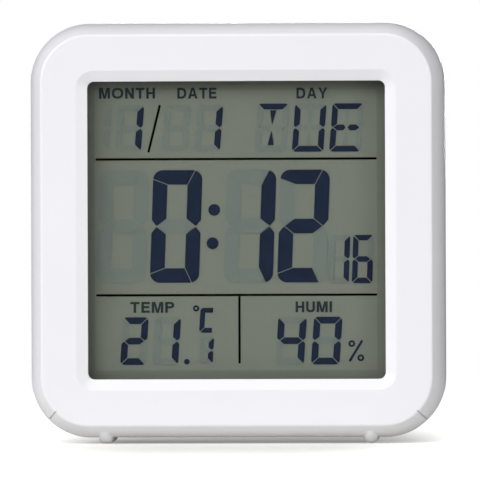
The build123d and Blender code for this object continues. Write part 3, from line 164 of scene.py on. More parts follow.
class ClockInside(bpy.types.PropertyGroup):
    board: colour("Board", "Colour of the solder mask", (0.012, 0.120, 0.045))
    sleeve: colour("Cell sleeve", "Main colour of the cells", (0.030, 0.070, 0.180))
    band: colour("Cell band", "Colour of the band at the positive end of the cells", (0.560, 0.570, 0.580))
    lead: colour("Positive lead", "Colour of the positive lead", (0.480, 0.012, 0.010))
    steel: colour("Steel", "Colour of screws, springs and contacts", (0.610, 0.600, 0.570))


class ClockStage(bpy.types.PropertyGroup):
    azimuth: angle("Azimuth", "Turn of the camera to the right of the front", 2.9)
    roll: angle("Roll", "Turn of the camera about its own line of sight", -0.2)
    distance: length("Distance", "From the camera to the clock", 1.5)
    view_width: length("View width", "Width of the picture at the clock", 92.31 * MM)
    aim_side: length("Aim to the side", "Middle of the picture, to the right of the clock", 0.765 * MM)
    aim_height: length("Aim height", "Middle of the picture above the table", 39.24 * MM)
    key: power("Key light", "Power of the light at the front left", 10.2)
    side: power("Side light", "Power of the light at the left", 11.2)
    front: power("Front light", "Power of the light above the camera", 6.4)
    overhead: power("Overhead light", "Power of the light above the clock", 5.9)
    fill: power("Fill light", "Power of the light at the right", 6.9)
    rear: power("Rear light", "Power of the light behind the clock, which misses the table", 8.0)
    bounce: power("Bounce light", "Power of the light that the table throws up at the clock", 1.1)
    sky: factor("Sky", "Strength of the even light from all round", 0.01)
    # The table's own glow in the middle of the painted shadow where the clock stands
    painted_shadow_glow: factor("Table glow", "How much the table shines by itself near the clock", 0.20)


# Shader maths


class Value:
    """A shader socket that stands in sums: each operator adds the Math node that works it out."""

    def __init__(self, paint, socket):
        self.paint = paint
        self.socket = socket

    def math(self, operation, first, second):
        made = self.paint.node("ShaderNodeMath", {"operation": operation}, {0: first, 1: second})
        return Value(self.paint, made.outputs[0])

    def __add__(self, other):
        return self.math("ADD", self, other)

    def __radd__(self, other):
        return self.math("ADD", other, self)

    def __sub__(self, other):
        return self.math("SUBTRACT", self, other)

    def __rsub__(self, other):
        return self.math("SUBTRACT", other, self)

    def __mul__(self, other):
        return self.math("MULTIPLY", self, other)

    def __rmul__(self, other):
        return self.math("MULTIPLY", other, self)

    def __mod__(self, other):
        return self.math("FLOORED_MODULO", self, other)

    def __pow__(self, other):
        return self.math("POWER", self, other)

    def __lt__(self, other):
        return self.math("LESS_THAN", self, other)

    def __gt__(self, other):
        return self.math("GREATER_THAN", self, other)

    def __abs__(self):
        return self.math("ABSOLUTE", self, 0.0)


class Paint:
    """Adds nodes to one tree, that of a material or of the world."""

    def __init__(self, owner):
        owner.use_nodes = True
        self.owner = owner
        self.tree = owner.node_tree
        self.tree.nodes.clear()
        self.place = None

    def node(self, kind, settings=None, sockets=None):
        """One node: its settings first, then the values or links of its sockets."""
        made = self.tree.nodes.new(kind)
        for name, setting in (settings or {}).items():
            setattr(made, name, setting)
        by_identifier = {socket.identifier: socket for socket in made.inputs}
        for key, given in (sockets or {}).items():
            socket = by_identifier.get(key) or made.inputs[key]
            if isinstance(given, Value):
                given = given.socket
            if isinstance(given, bpy.types.NodeSocket):
                self.tree.links.new(given, socket)
            elif socket.type == "RGBA":
                socket.default_value = (*tuple(given)[:3], 1.0)
            else:
                socket.default_value = given
        return made

    def coordinates(self):
        """Places in the frame of the solids, from one node for the whole tree."""
        if self.place is None:
            self.place = self.node("ShaderNodeTexCoord").outputs["Object"]
        return self.place

    def axes(self):
        """The three coordinates, each as a value."""
        split = self.node("ShaderNodeSeparateXYZ", None, {"Vector": self.coordinates()})
        return [Value(self, split.outputs[name]) for name in "XYZ"]

    def noise(self, size, detail=2.0, stretch=(1.0, 1.0, 1.0)):
        """Soft noise from 0 to 1 with features of a size in metres, drawn out along an axis by stretch."""
        scale = [1.0 / (size * share) for share in stretch]
        turned = self.node("ShaderNodeMapping", None, {"Vector": self.coordinates(), "Scale": scale})
        made = self.node(
            "ShaderNodeTexNoise", None, {"Vector": turned.outputs[0], "Scale": 1.0, "Detail": detail}
        )
        return Value(self, made.outputs["Fac"])

    def blend(self, share, first, second):
        """A colour between two colours."""
        made = self.node(
            "ShaderNodeMix",
            {"data_type": "RGBA"},
            {"Factor_Float": share, "A_Color": first, "B_Color": second},
        )
        return made.outputs[2]  # the colour; the first two are a number and a vector

    def bump(self, height, depth, strength):
        """A surface that is raised by a height from 0 to 1 times a depth in metres."""
        made = self.node(
            "ShaderNodeBump", None, {"Height": height, "Distance": depth, "Strength": strength}
        )
        return made.outputs["Normal"]

    def shade(self, sockets):
        """The surface itself, with constant numbers on its own sockets."""
        surface = self.node("ShaderNodeBsdfPrincipled", None, sockets)
        self.node("ShaderNodeOutputMaterial", None, {"Surface": surface.outputs[0]})
        return self.owner


def paint(name):
    """A new material, ready for its nodes."""
    return Paint(bpy.data.materials.new(name))


def times(shade, share):
    """A colour made lighter or darker."""
    return tuple(min(1.0, channel * share) for channel in shade)


def dress(material, *nodes):
    """Gives solids their finish."""
    for name in nodes:
        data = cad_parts[name].data
        data.materials.clear()
        data.materials.append(material)


# Finishes


def moulded(name, shade, roughness, grain, cloudiness=0.975):
    """Moulded plastic: slightly cloudy colour, and the fine grain of the mould in gloss and surface."""
    p = paint(name)
    cloud = p.noise(size=16 * MM, detail=3.0)
    fine = p.noise(size=grain)
    return p.shade(
        {
            "Base Color": p.blend(cloud, times(shade, cloudiness), shade),
            "Roughness": roughness + (cloud - 0.5) * 0.06 + (fine - 0.5) * 0.10,
            "Normal": p.bump(fine, depth=0.012 * MM, strength=0.35),
        }
    )


def clear_pane(name, shade, share, roughness):
    """Clear pane: lets light through and mirrors a little, more at a slant, with faint smears."""
    p = paint(name)
    smear = p.noise(size=7 * MM, detail=4.0, stretch=(1.0, 1.0, 2.5))
    gloss = Value(p, p.node("ShaderNodeFresnel", None, {"IOR": ACRYLIC_IOR}).outputs[0])
    return p.shade(
        {
            "Base Color": p.blend(smear, times(shade, 0.94), shade),
            "Metallic": 1.0,
            "Roughness": roughness + smear * 0.05,
            "Alpha": gloss * share + smear * 0.001,
        }
    )


def tinted_film(name, shade, share):
    """Thin film or glass that is laid on another: hardly any mirror of its own, a breath of its tint."""
    p = paint(name)
    haze = p.noise(size=11 * MM, detail=3.0)
    return p.shade(
        {
            "Base Color": p.blend(haze, times(shade, 0.9), shade),
            "Roughness": 0.35 + haze * 0.1,
            "Alpha": share + haze * share,
        }
    )


def display_ground(name, shade, margin):
    """Ground of the display: reflector seen through the film, with fine grain and a darker margin round the
    film, where painted shade stands for the bezel's shade along the window's edges.

    The margin is where a point is farther from the middle of the window, across or up, than the film reaches.
    """
    p = paint(name)
    cloud = p.noise(size=14 * MM)
    grain = p.noise(size=0.16 * MM)
    x, _, z = p.axes()
    centre = middle("window_lens")
    across = abs(x - (centre.x - FILM_SHIFT))
    painted_margin_mask = (across > FILM_REACH[0]) + (abs(z - centre.z) > FILM_REACH[1])
    warmth = (1.06, 1.02, 0.97)
    warmer = tuple(gain * channel for gain, channel in zip(warmth, shade))
    mottled = p.blend(cloud, times(shade, 0.965), warmer)
    grained = p.blend(grain * 0.6, mottled, times(shade, 1.05))
    return p.shade(
        {
            # Painted shade: the margin round the film is darkened towards black, as the bezel's shade along
            # the window's edges
            "Base Color": p.blend((painted_margin_mask > 0.5) * margin, grained, BLACK),
            "Roughness": 0.5 + grain * 0.15,
            "Specular IOR Level": 0.2,
        }
    )


def display_ink(name, shade, roughness=0.5):
    """Printed or switched segment: even colour with a slight bloom and fine grain."""
    p = paint(name)
    bloom = p.noise(size=4 * MM)
    grain = p.noise(size=0.1 * MM)
    return p.shade(
        {
            "Base Color": p.blend(bloom, times(shade, 0.9), times(shade, 1.1)),
            "Roughness": roughness + grain * 0.2,
            "Specular IOR Level": 0.0,
        }
    )


def soft_black(name, shade, pore):
    """Foam, tape or rubber: pores or fibres in colour and surface."""
    p = paint(name)
    pores = p.noise(size=pore, detail=3.0)
    return p.shade(
        {
            "Base Color": p.blend(pores, times(shade, 0.5), times(shade, 1.5)),
            "Roughness": 0.75 + pores * 0.2,
            "Normal": p.bump(pores, depth=pore * 0.3, strength=0.6),
        }
    )


def plated_metal(name, shade, roughness, stretch):
    """Plated metal: fine marks drawn out one way, and a duller bloom in patches."""
    p = paint(name)
    marks = p.noise(size=0.12 * MM, detail=3.0, stretch=stretch)
    bloom = p.noise(size=2.5 * MM)
    return p.shade(
        {
            "Base Color": p.blend(bloom, times(shade, 0.85), shade),
            "Metallic": 1.0,
            "Roughness": roughness + marks * 0.12 + bloom * 0.08,
            "Normal": p.bump(marks, depth=0.004 * MM, strength=0.4),
        }
    )


def striped_rubber(name, shade):
    """Connector strip: thin conducting layers side by side along its length."""
    p = paint(name)
    across = p.axes()[0]
    pitch = 0.36 * MM
    layer = (across * (1 / pitch)) % 1.0 < 0.5
    pores = p.noise(size=0.3 * MM)
    return p.shade(
        {
            "Base Color": p.blend(layer, times(shade, 4.0), shade),
            "Roughness": 0.6 + pores * 0.2,
            "Normal": p.bump(layer, depth=0.01 * MM, strength=0.4),
        }
    )


def circuit_board(name, shade):
    """Board: solder mask over copper tracks, which run across and up in broken bundles."""
    p = paint(name)
    x, _, z = p.axes()
    patch = p.noise(size=9 * MM, detail=0.0)
    pitch = 1.1 * MM
    track = 0.42  # share of the pitch that is copper
    upright = (x * (1 / pitch)) % 1.0 < track
    level = (z * (1 / pitch)) % 1.0 < track
    bundle = patch > 0.54
    tracks = upright * bundle + level * (1.0 - bundle) * (p.noise(size=6 * MM, detail=0.0) > 0.52)
    weave = p.noise(size=0.25 * MM)
    return p.shade(
        {
            "Base Color": p.blend(tracks, shade, times(shade, 1.7)),
            "Roughness": 0.32 + weave * 0.1,
            "Normal": p.bump(tracks + weave * 0.1, depth=0.03 * MM, strength=0.7),
        }
    )


def dipped(name, shade, roughness):
    """Cast resin: slow ripples in a glossy skin."""
    p = paint(name)
    ripple = p.noise(size=1.6 * MM)
    return p.shade(
        {
            "Base Color": p.blend(ripple, times(shade, 0.7), times(shade, 1.3)),
            "Roughness": roughness + ripple * 0.12,
            "Normal": p.bump(ripple, depth=0.05 * MM, strength=0.5),
        }
    )


def chip(name, node, body, cap, pitch, half_body):
    """Small chips in a row: a fired body with a metal cap at both ends, repeated at the pitch of the row."""
    p = paint(name)
    x = p.axes()[0]
    start = middle(node).x - pitch / 2
    from_middle = abs((x - start) % pitch - pitch / 2)
    ends = from_middle > half_body
    grit = p.noise(size=0.2 * MM, detail=3.0)
    return p.shade(
        {
            "Base Color": p.blend(ends, p.blend(grit, times(body, 0.8), times(body, 1.2)), cap),
            "Metallic": ends,
            "Roughness": 0.5 - ends * 0.2 + grit * 0.1,
            "Normal": p.bump(grit, depth=0.01 * MM, strength=0.5),
        }
    )


def two_part(name, near, far, depth, roughness, gloss, grit_size, metal):
    """A small part of two materials that meet at a depth, one of them metal: "near" the front or "far".

    Roughness is that of the near material and gloss is the roughness of the far one.
    """
    p = paint(name)
    y = p.axes()[1]
    beyond = y > depth
    grit = p.noise(size=grit_size, detail=3.0)
    return p.shade(
        {
            "Base Color": p.blend(beyond, near, p.blend(grit, times(far, 0.8), times(far, 1.2))),
            "Metallic": 1.0 - beyond if metal == "near" else beyond,
            "Roughness": roughness + beyond * (gloss - roughness) + grit * 0.08,
            "Normal": p.bump(grit, depth=0.01 * MM, strength=0.4),
        }
    )


def cell_sleeve(name, node, side, sleeve, band, steel):
    """Cell: printed sleeve with a band near the positive end and bare steel at both ends."""
    p = paint(name)
    x, y, z = p.axes()
    low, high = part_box(node)
    axis = middle(node)
    tip = high.x if side > 0 else low.x
    along = (tip - x) * side
    radius_squared = (y - axis.y) ** 2.0 + (z - axis.z) ** 2.0
    # Lengths from the positive end, and how far the sleeve's edge is turned in over both ends
    positive_end, negative_end = 1.4 * MM, high.x - low.x - 0.5 * MM
    band_start, band_end = 2.4 * MM, 13 * MM
    ring_start, ring_end = 13.4 * MM, 14.2 * MM
    turned_in = 0.7 * MM
    bare_radius = (high.z - low.z) / 2 - turned_in
    bare = ((along < positive_end) + (along > negative_end)) * (radius_squared < bare_radius**2)
    banded = (along < band_end) * (along > band_start)
    ring = (along < ring_end) * (along > ring_start)
    scuff = p.noise(size=3 * MM, detail=4.0, stretch=(4.0, 1.0, 1.0))
    printed = p.blend(banded + ring, p.blend(scuff, times(sleeve, 0.85), times(sleeve, 1.15)), band)
    return p.shade(
        {
            "Base Color": p.blend(bare, printed, steel),
            "Metallic": bare * 0.7 + 0.3,
            "Roughness": 0.28 + scuff * 0.15,
            "Normal": p.bump(scuff, depth=0.01 * MM, strength=0.3),
        }
    )


# Shapes


def rounded_bar(start, end, width, radius, steps=8):
    """Outline of a flat bar between two points: four quarter circles of one radius, joined by straights.

    Point k of corner c lies on the circle of that corner, at c + k / (steps - 1) quarter turns.
    """
    start, end = np.array(start), np.array(end)
    span = np.linalg.norm(end - start)
    along = (end - start) / span
    across = np.array([-along[1], along[0]])
    turns = np.linspace(0.0, np.pi / 2, steps)[None, :] + np.arange(4)[:, None] * np.pi / 2
    signs = np.array([[1, 1], [-1, 1], [-1, -1], [1, -1]])
    reach = signs[:, :1] * (span / 2 - radius) + radius * np.cos(turns)
    rise = signs[:, 1:] * (width / 2 - radius) + radius * np.sin(turns)
    centre = (start + end) / 2
    return centre + reach.reshape(-1, 1) * along + rise.reshape(-1, 1) * across


def flat_mesh(name, outline, near, far):
    """Closed flat shell: an outline across and up, carried straight from one depth to another."""
    count = len(outline)
    ring = np.arange(count)
    after = np.roll(ring, -1)
    corners = np.zeros((2 * count, 3))
    corners[:count] = np.column_stack([outline[:, 0], np.full(count, near), outline[:, 1]])
    corners[count:] = np.column_stack([outline[:, 0], np.full(count, far), outline[:, 1]])
    sides = np.column_stack([ring, ring + count, after + count, after])
    mesh = bpy.data.meshes.new(name)
    mesh.from_pydata(corners, [], [*sides.tolist(), ring.tolist(), (ring[::-1] + count).tolist()])
    mesh.update()
    return mesh


def bowl(centre, half_width, half_height, first, last, steps=17):
    """Points of a rounded bowl between two angles in degrees.

    Each coordinate is the half width or half height times the cosine or sine to a power below one, which
    makes a circle a little square.
    """
    turn = np.radians(np.linspace(first, last, steps))
    across, up = np.cos(turn), np.sin(turn)
    squarer = 0.85
    x = centre[0] + half_width * np.sign(across) * np.abs(across) ** squarer
    y = centre[1] + half_height * np.sign(up) * np.abs(up) ** squarer
    return np.column_stack([x, y])


def stroke(path, width):
    """Outline of a stroke of one width along a path: the path moved to its left, then back on its right."""
    ahead = np.gradient(path, axis=0)
    ahead /= np.linalg.norm(ahead, axis=1, keepdims=True)
    side = np.column_stack([-ahead[:, 1], ahead[:, 0]]) * (width / 2)
    return np.vstack([path + side, (path - side)[::-1]])


def letter_loops(letter, s):
    """Width and closed outlines of a capital of height one, with upright strokes of width s.

    Straight letters are listed corner by corner, in shares of the width w and of the strokes, where d is
    the level width of a slanted stroke. Round ones have the points of a bowl between their straight ends.
    """
    t = 0.9 * s  # level strokes
    if letter == "I":
        return s, [[(0, 0), (0, 1), (s, 1), (s, 0)]]
    if letter == "T":
        w = 0.80
        a, b = w / 2 - s / 2, w / 2 + s / 2
        return w, [[(0, 1), (w, 1), (w, 1 - t), (b, 1 - t), (b, 0), (a, 0), (a, 1 - t), (0, 1 - t)]]
    if letter == "H":
        w, low, high = 0.79, 0.5 - t / 2, 0.5 + t / 2
        left = [(s, 0), (0, 0), (0, 1), (s, 1), (s, high)]
        right = [(w - s, high), (w - s, 1), (w, 1), (w, 0), (w - s, 0), (w - s, low), (s, low)]
        return w, [left + right]
    if letter == "E":
        w, waist, shorter = 0.73, 0.52, 0.05
        low, high, arm = waist - t / 2, waist + t / 2, w - shorter
        back = [(w, t), (w, 0), (0, 0), (0, 1), (w, 1), (w, 1 - t), (s, 1 - t)]
        return w, [back + [(s, high), (arm, high), (arm, low), (s, low), (s, t)]]
    if letter == "N":
        w, d = 0.80, 1.12 * s
        k = s / (w - d)
        left = [(0, 0), (0, 1), (d, 1), (w - s, k), (w - s, 1)]
        return w, [left + [(w, 1), (w, 0), (w - d, 0), (s, 1 - k), (s, 0)]]
    if letter in "MW":
        w, d, e, notch = 1.0, 1.45 * s, 0.5 * s, 0.28
        slope = (1 - notch) / (w / 2 - d)
        joint = slope * (w / 2 - e - s)
        left = [(0, 0), (0, 1), (d, 1), (w / 2, notch), (w - d, 1), (w, 1), (w, 0)]
        loop = left + [(w - s, 0), (w - s, joint), (w / 2 + e, 0), (w / 2 - e, 0), (s, joint), (s, 0)]
        return w, [loop if letter == "M" else [(x, 1 - y) for x, y in loop]]
    if letter == "Y":
        w, d, fork = 0.90, 1.15 * s, 0.42
        a, b = w / 2 - s / 2, w / 2 + s / 2
        left = [(a, 0), (a, fork), (0, 1), (d, 1), (w / 2, fork + 0.6 * s)]
        return w, [left + [(w - d, 1), (w, 1), (b, fork), (b, 0)]]
    if letter == "A":
        w, top, foot, peak, low = 0.95, 0.58 * s, 1.08 * s, 0.80, 0.21
        high = low + t

        def inner(y):
            return foot + (w / 2 - foot) * y / peak

        legs = [(0, 0), (w / 2 - top, 1), (w / 2 + top, 1), (w, 0), (w - foot, 0)]
        legs += [(w - inner(low), low), (inner(low), low), (foot, 0)]
        return w, [legs, [(inner(high), high), (w - inner(high), high), (w / 2, peak)]]
    if letter == "O":
        w, steps = 1.05, 48
        last = 360 - 360 / steps
        outer = bowl((w / 2, 0.5), w / 2, 0.5, 0, last, steps)
        return w, [outer, bowl((w / 2, 0.5), w / 2 - s, 0.5 - t, 0, last, steps)]
    if letter in "DP":
        w, r, floor = (0.88, 0.50, 0.0) if letter == "D" else (0.78, 0.36, 0.40)
        rise, mid = (1 - floor) / 2, (1 + floor) / 2
        outer = [(0, 1), *bowl((w - r, mid), r, rise, 90, -90)]
        outer += [(0, 0)] if letter == "D" else [(s, floor), (s, 0), (0, 0)]
        return w, [outer, [(s, 1 - t), *bowl((w - r, mid), r - s, rise - t, 90, -90), (s, floor + t)]]
    if letter == "U":
        w, bend = 0.80, 0.36
        inner = bowl((w / 2, bend), w / 2 - s, bend - t, -180, 0)
        return w, [[(0, 1), (s, 1), *inner, (w - s, 1), (w, 1), *bowl((w / 2, bend), w / 2, bend, 0, -180)]]
    if letter == "S":
        w, h, steps = 0.80, (1 - t) / 4, 25
        upper = bowl((w / 2, 0.5 + h), (w - s) / 2, h, 20, 270, steps)
        lower = bowl((w / 2, 0.5 - h), (w - s) / 2, h, 90, -160, steps)
        return w, [stroke(np.vstack([upper, lower[1:]]), s)]
    raise ValueError(f"no outline for the letter {letter}")


def word_mesh(name, words, low, high, facing, weight):
    """Words as a closed shell that fills a box: width and height from the box, thickness from its depth.

    The outlines of the letters stand side by side in one filled flat curve, which is turned to face the
    front or the back. Each coordinate is then carried evenly from its own range to that of the box.
    """
    flat_curve = bpy.data.curves.new(name, "CURVE")
    flat_curve.dimensions = "2D"
    flat_curve.fill_mode = "BOTH"
    flat_curve.extrude = 0.05  # any thickness does, since the box sets it below
    cursor = 0.0
    for letter in words:
        width, loops = letter_loops(letter, weight)
        for loop in loops:
            points = np.asarray(loop, float) + [cursor, 0.0]
            spline = flat_curve.splines.new("POLY")
            spline.points.add(len(points) - 1)
            packed = np.column_stack([points, np.zeros(len(points)), np.ones(len(points))])
            spline.points.foreach_set("co", packed.astype(np.float32).ravel())
            spline.use_cyclic_u = True
        cursor += width + LETTER_GAP
    holder = bpy.data.objects.new(name + "_outline", flat_curve)
    bpy.context.scene.collection.objects.link(holder)
    graph = bpy.context.evaluated_depsgraph_get()
    mesh = bpy.data.meshes.new_from_object(holder.evaluated_get(graph))
    bpy.data.objects.remove(holder)
    bpy.data.curves.remove(flat_curve)
    mesh.name = name
    flat = np.zeros(3 * len(mesh.vertices), np.float32)
    mesh.vertices.foreach_get("co", flat)
    points = flat.reshape(-1, 3) @ facing
    least, most = points.min(0), points.max(0)
    points = np.array(low) + (points - least) / (most - least) * (np.array(high) - np.array(low))
    mesh.vertices.foreach_set("co", points.astype(np.float32).ravel())
    mesh.update()
    return mesh


def piece(name, mesh, material):
    """A finished piece on the body of the clock."""
    made = bpy.data.objects.new(name, mesh)
    bpy.context.scene.collection.objects.link(made)
    mesh.materials.clear()
    mesh.materials.append(material)
    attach(made, BODY)
    return made


def printed_layer():
    """Depths between which the display is printed, just inside the layer of the segments."""
    low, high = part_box("lcd_dark_segments")
    skin = PRINT_SKIN * (high.y - low.y)
    return low.y + skin, high.y - skin


# Operators


class ClockOperator(bpy.types.Operator):
    """What all the operators share"""

    bl_options = {"REGISTER", "UNDO"}


class CLOCK_OT_case(ClockOperator):
    """Finish of the case, its rear cover and the battery door"""

    bl_idname = "clock.case"
    bl_label = "Case"

    def execute(self, context):
        given = context.scene.clock_case
        dress(moulded("case_white", given.plastic, given.roughness, given.grain), "front_case")
        # The back is a little darker, more matt and more coarsely grained
        back = moulded("rear_white", times(given.plastic, 0.98), given.roughness + 0.1, 1.6 * given.grain)
        dress(back, "rear_cover", "battery_door")
        return {"FINISHED"}


class CLOCK_OT_buttons(ClockOperator):
    """Finish of the buttons at the back, with the switches under them"""

    bl_idname = "clock.buttons"
    bl_label = "Buttons"

    grain = 0.3 * MM
    plate = 0.3 * MM  # thickness of the steel plate on each switch

    def execute(self, context):
        given = context.scene.clock_case
        grey = moulded("button_grey", given.button, roughness=0.45, grain=self.grain)
        dress(grey, *BUTTON_WORDS)
        black = moulded("plunger_black", SHADES["plunger"], roughness=0.4, grain=self.grain)
        dress(black, *(name.replace("button", "switch_plunger") for name in BUTTON_WORDS))
        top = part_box("switch_housings")[1].y - self.plate
        steel = context.scene.clock_inside.steel
        housing = two_part(
            "switch_black",
            SHADES["switch"],
            steel,
            top,
            roughness=0.5,
            gloss=0.3,
            grit_size=self.grain,
            metal="far",
        )
        dress(housing, "switch_housings")
        return {"FINISHED"}


class CLOCK_OT_button_words(ClockOperator):
    """Words printed on the recessed panel under the buttons"""

    bl_idname = "clock.button_words"
    bl_label = "Button words"

    panel_depth = 0.9 * MM  # of the recessed panel in the cover
    drop = 5.75 * MM  # from the middle of a button to the foot of its word
    half_letter = 0.43  # half the width that a letter takes, as a share of the height
    layer = (0.002 * MM, 0.03 * MM)  # lower and upper side of the print above the panel
    weight = 0.17  # width of a stroke, as a share of the height

    def execute(self, context):
        given = context.scene.clock_case
        material = display_ink("button_print", given.wording)
        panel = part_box("rear_cover")[1].y - self.panel_depth
        for node, words in BUTTON_WORDS.items():
            name = words.lower() + "_print"
            crown = middle(node)
            bottom = crown.z - self.drop
            half = self.half_letter * given.word_height * len(words)
            low = (crown.x - half, panel + self.layer[0], bottom)
            high = (crown.x + half, panel + self.layer[1], bottom + given.word_height)
            mesh = word_mesh(name, words, low, high, TO_BACK, self.weight)
            piece(name, mesh, material)
        return {"FINISHED"}


class CLOCK_OT_display(ClockOperator):
    """Finish of the layers of the display, from the clear pane to the foam pad"""

    bl_idname = "clock.display"
    bl_label = "Display"

    seam = 0.02 * MM  # between the strip of film and its neighbours
    corner = 0.1 * MM  # radius of the strip's corners
    film_share, glass_share = 0.0015, 0.001  # how much film and glass show of themselves

    def execute(self, context):
        given = context.scene.clock_display
        dress(clear_pane("lens_clear", SHADES["pane"], given.pane, roughness=0.03), "window_lens")
        dress(soft_black("tape_black", SHADES["tape"], pore=0.5 * MM), "lens_tape")
        dress(soft_black("foam_black", SHADES["foam"], pore=0.25 * MM), "lcd_gasket", "lcd_support_pad")
        dress(tinted_film("film_clear", SHADES["film"], self.film_share), "lcd_front_polariser")
        dress(tinted_film("glass_clear", SHADES["glass"], self.glass_share), "lcd_front_glass")
        ground = display_ground("display_ground", given.ground, given.margin)
        dress(ground, "lcd_rear_glass", "lcd_seal")
        reflector = plated_metal(
            "reflector_grey", SHADES["reflector"], roughness=0.45, stretch=(6.0, 1.0, 1.0)
        )
        dress(reflector, "lcd_reflector")
        dress(striped_rubber("elastomer_black", SHADES["elastomer"]), "zebra_strip")
        front, back = printed_layer()
        pane_low, pane_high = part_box("window_lens")
        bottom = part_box("zebra_strip")[1].z + self.seam
        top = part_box("lcd_rear_glass")[0].z - self.seam
        up = (bottom + top) / 2
        outline = rounded_bar((pane_low.x, up), (pane_high.x, up), top - bottom, self.corner)
        piece("ledge_film", flat_mesh("ledge_film", outline, front, back), ground)
        return {"FINISHED"}


class CLOCK_OT_segments(ClockOperator):
    """Finish of the segments that are on and of those that are off"""

    bl_idname = "clock.segments"
    bl_label = "Segments"

    def execute(self, context):
        given = context.scene.clock_display
        dress(display_ink("segment_dark", given.ink), "lcd_dark_segments")
        dress(display_ground("segment_clear", given.unlit, given.margin), "lcd_clear_segments")
        return {"FINISHED"}


class CLOCK_OT_display_words(ClockOperator):
    """Words printed on the display over the readings"""

    bl_idname = "clock.display_words"
    bl_label = "Display words"

    # Left and right end and lower edge of each word, in millimetres from the middle of the display
    places = {
        "MONTH": (-26.64, -15.83, 25.46),
        "DATE": (-11.50, -3.93, 25.41),
        "DAY": (11.51, 17.48, 25.34),
        "TEMP": (-20.75, -12.24, -15.90),
        "HUMI": (11.21, 18.22, -15.88),
    }
    cap_height = 2.09
    weight = 0.22  # width of a stroke, as a share of the height

    def execute(self, context):
        material = display_ink("word_ink", context.scene.clock_display.wording)
        centre = middle("window_lens")
        front, back = printed_layer()
        for words, (left, right, bottom) in self.places.items():
            name = words.lower() + "_print"
            low = (centre.x + left * MM, front, centre.z + bottom * MM)
            high = (centre.x + right * MM, back, centre.z + (bottom + self.cap_height) * MM)
            mesh = word_mesh(name, words, low, high, TO_FRONT, self.weight)
            piece(name, mesh, material)
        return {"FINISHED"}


class CLOCK_OT_display_lines(ClockOperator):
    """Lines printed on the display between the readings, and the stroke between month and date"""

    bl_idname = "clock.display_lines"
    bl_label = "Display lines"

    # Both ends of each line, across and up in millimetres from the middle of the display
    ends = {
        "upper_line": ((-27.35, 13.74), (26.95, 13.74)),
        "lower_line": ((-27.32, -12.51), (26.95, -12.51)),
        "middle_line": ((0.36, -12.75), (0.36, -25.72)),
        "date_stroke": ((-14.88, 24.20), (-17.15, 15.05)),
    }
    corner_share = 0.3  # radius of a line's corners, as a share of its width

    def execute(self, context):
        given = context.scene.clock_display
        material = display_ink("line_ink", given.line, roughness=0.45)
        centre = middle("window_lens")
        origin = np.array([centre.x, centre.z])
        front, back = printed_layer()
        for name, (start, end) in self.ends.items():
            start = origin + np.array(start) * MM
            end = origin + np.array(end) * MM
            outline = rounded_bar(start, end, given.line_width, self.corner_share * given.line_width)
            piece(name, flat_mesh(name, outline, front, back), material)
        return {"FINISHED"}


class CLOCK_OT_board(ClockOperator):
    """Finish of the circuit board and of the parts that stand on it"""

    bl_idname = "clock.board"
    bl_label = "Circuit board"

    chip_pitch = 3.6 * MM
    half_capacitor, half_resistor = 0.6 * MM, 0.65 * MM  # half the length between the metal caps
    bead_length = 2.6 * MM
    pin_length = 2.5 * MM

    def execute(self, context):
        given = context.scene.clock_inside
        dress(circuit_board("board_green", given.board), "main_board")
        dress(dipped("epoxy_black", SHADES["epoxy"], roughness=0.3), "chip_blob")
        can = plated_metal("can_steel", given.steel, roughness=0.2, stretch=(8.0, 1.0, 1.0))
        dress(can, "quartz_crystal")
        for node, name, shade, half_body in (
            ("chip_capacitors", "ceramic_tan", SHADES["capacitor"], self.half_capacitor),
            ("chip_resistors", "ceramic_black", SHADES["resistor"], self.half_resistor),
        ):
            dress(chip(name, node, shade, SHADES["tin"], self.chip_pitch, half_body), node)
        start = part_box("thermistor")[1].y - self.bead_length
        bead = two_part(
            "bead_brown",
            given.steel,
            SHADES["bead"],
            start,
            roughness=0.3,
            gloss=0.2,
            grit_size=0.5 * MM,
            metal="near",
        )
        dress(bead, "thermistor")
        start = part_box("humidity_sensor")[0].y + self.pin_length
        sensor = two_part(
            "sensor_blue",
            given.steel,
            SHADES["sensor"],
            start,
            roughness=0.3,
            gloss=0.5,
            grit_size=0.3 * MM,
            metal="near",
        )
        dress(sensor, "humidity_sensor")
        buzzer = moulded("buzzer_black", SHADES["buzzer"], roughness=0.4, grain=0.35 * MM, cloudiness=0.8)
        dress(buzzer, "alarm_buzzer")
        return {"FINISHED"}


class CLOCK_OT_power(ClockOperator):
    """Finish of the cells, their contacts and springs, and the leads"""

    bl_idname = "clock.power"
    bl_label = "Cells and contacts"

    def execute(self, context):
        given = context.scene.clock_inside
        for name, side in (("upper_cell", 1), ("lower_cell", -1)):
            sleeve = cell_sleeve(name + "_sleeve", name, side, given.sleeve, given.band, given.steel)
            dress(sleeve, name)
        nickel = plated_metal("contact_nickel", given.steel, roughness=0.22, stretch=(1.0, 6.0, 1.0))
        dress(nickel, "positive_contact", "negative_contact", "bridge_contact")
        spring = plated_metal("spring_steel", given.steel, roughness=0.18, stretch=(1.0, 1.0, 1.0))
        dress(spring, "negative_spring", "bridge_spring")
        dress(dipped("lead_red", given.lead, roughness=0.4), "red_lead")
        dress(dipped("lead_black", SHADES["negative_lead"], roughness=0.4), "black_lead")
        return {"FINISHED"}


class CLOCK_OT_screws(ClockOperator):
    """Finish of the screws"""

    bl_idname = "clock.screws"
    bl_label = "Screws"

    def execute(self, context):
        given = context.scene.clock_inside
        steel = plated_metal("screw_steel", given.steel, roughness=0.25, stretch=(1.0, 5.0, 1.0))
        dress(steel, "case_screws", "board_screws")
        return {"FINISHED"}


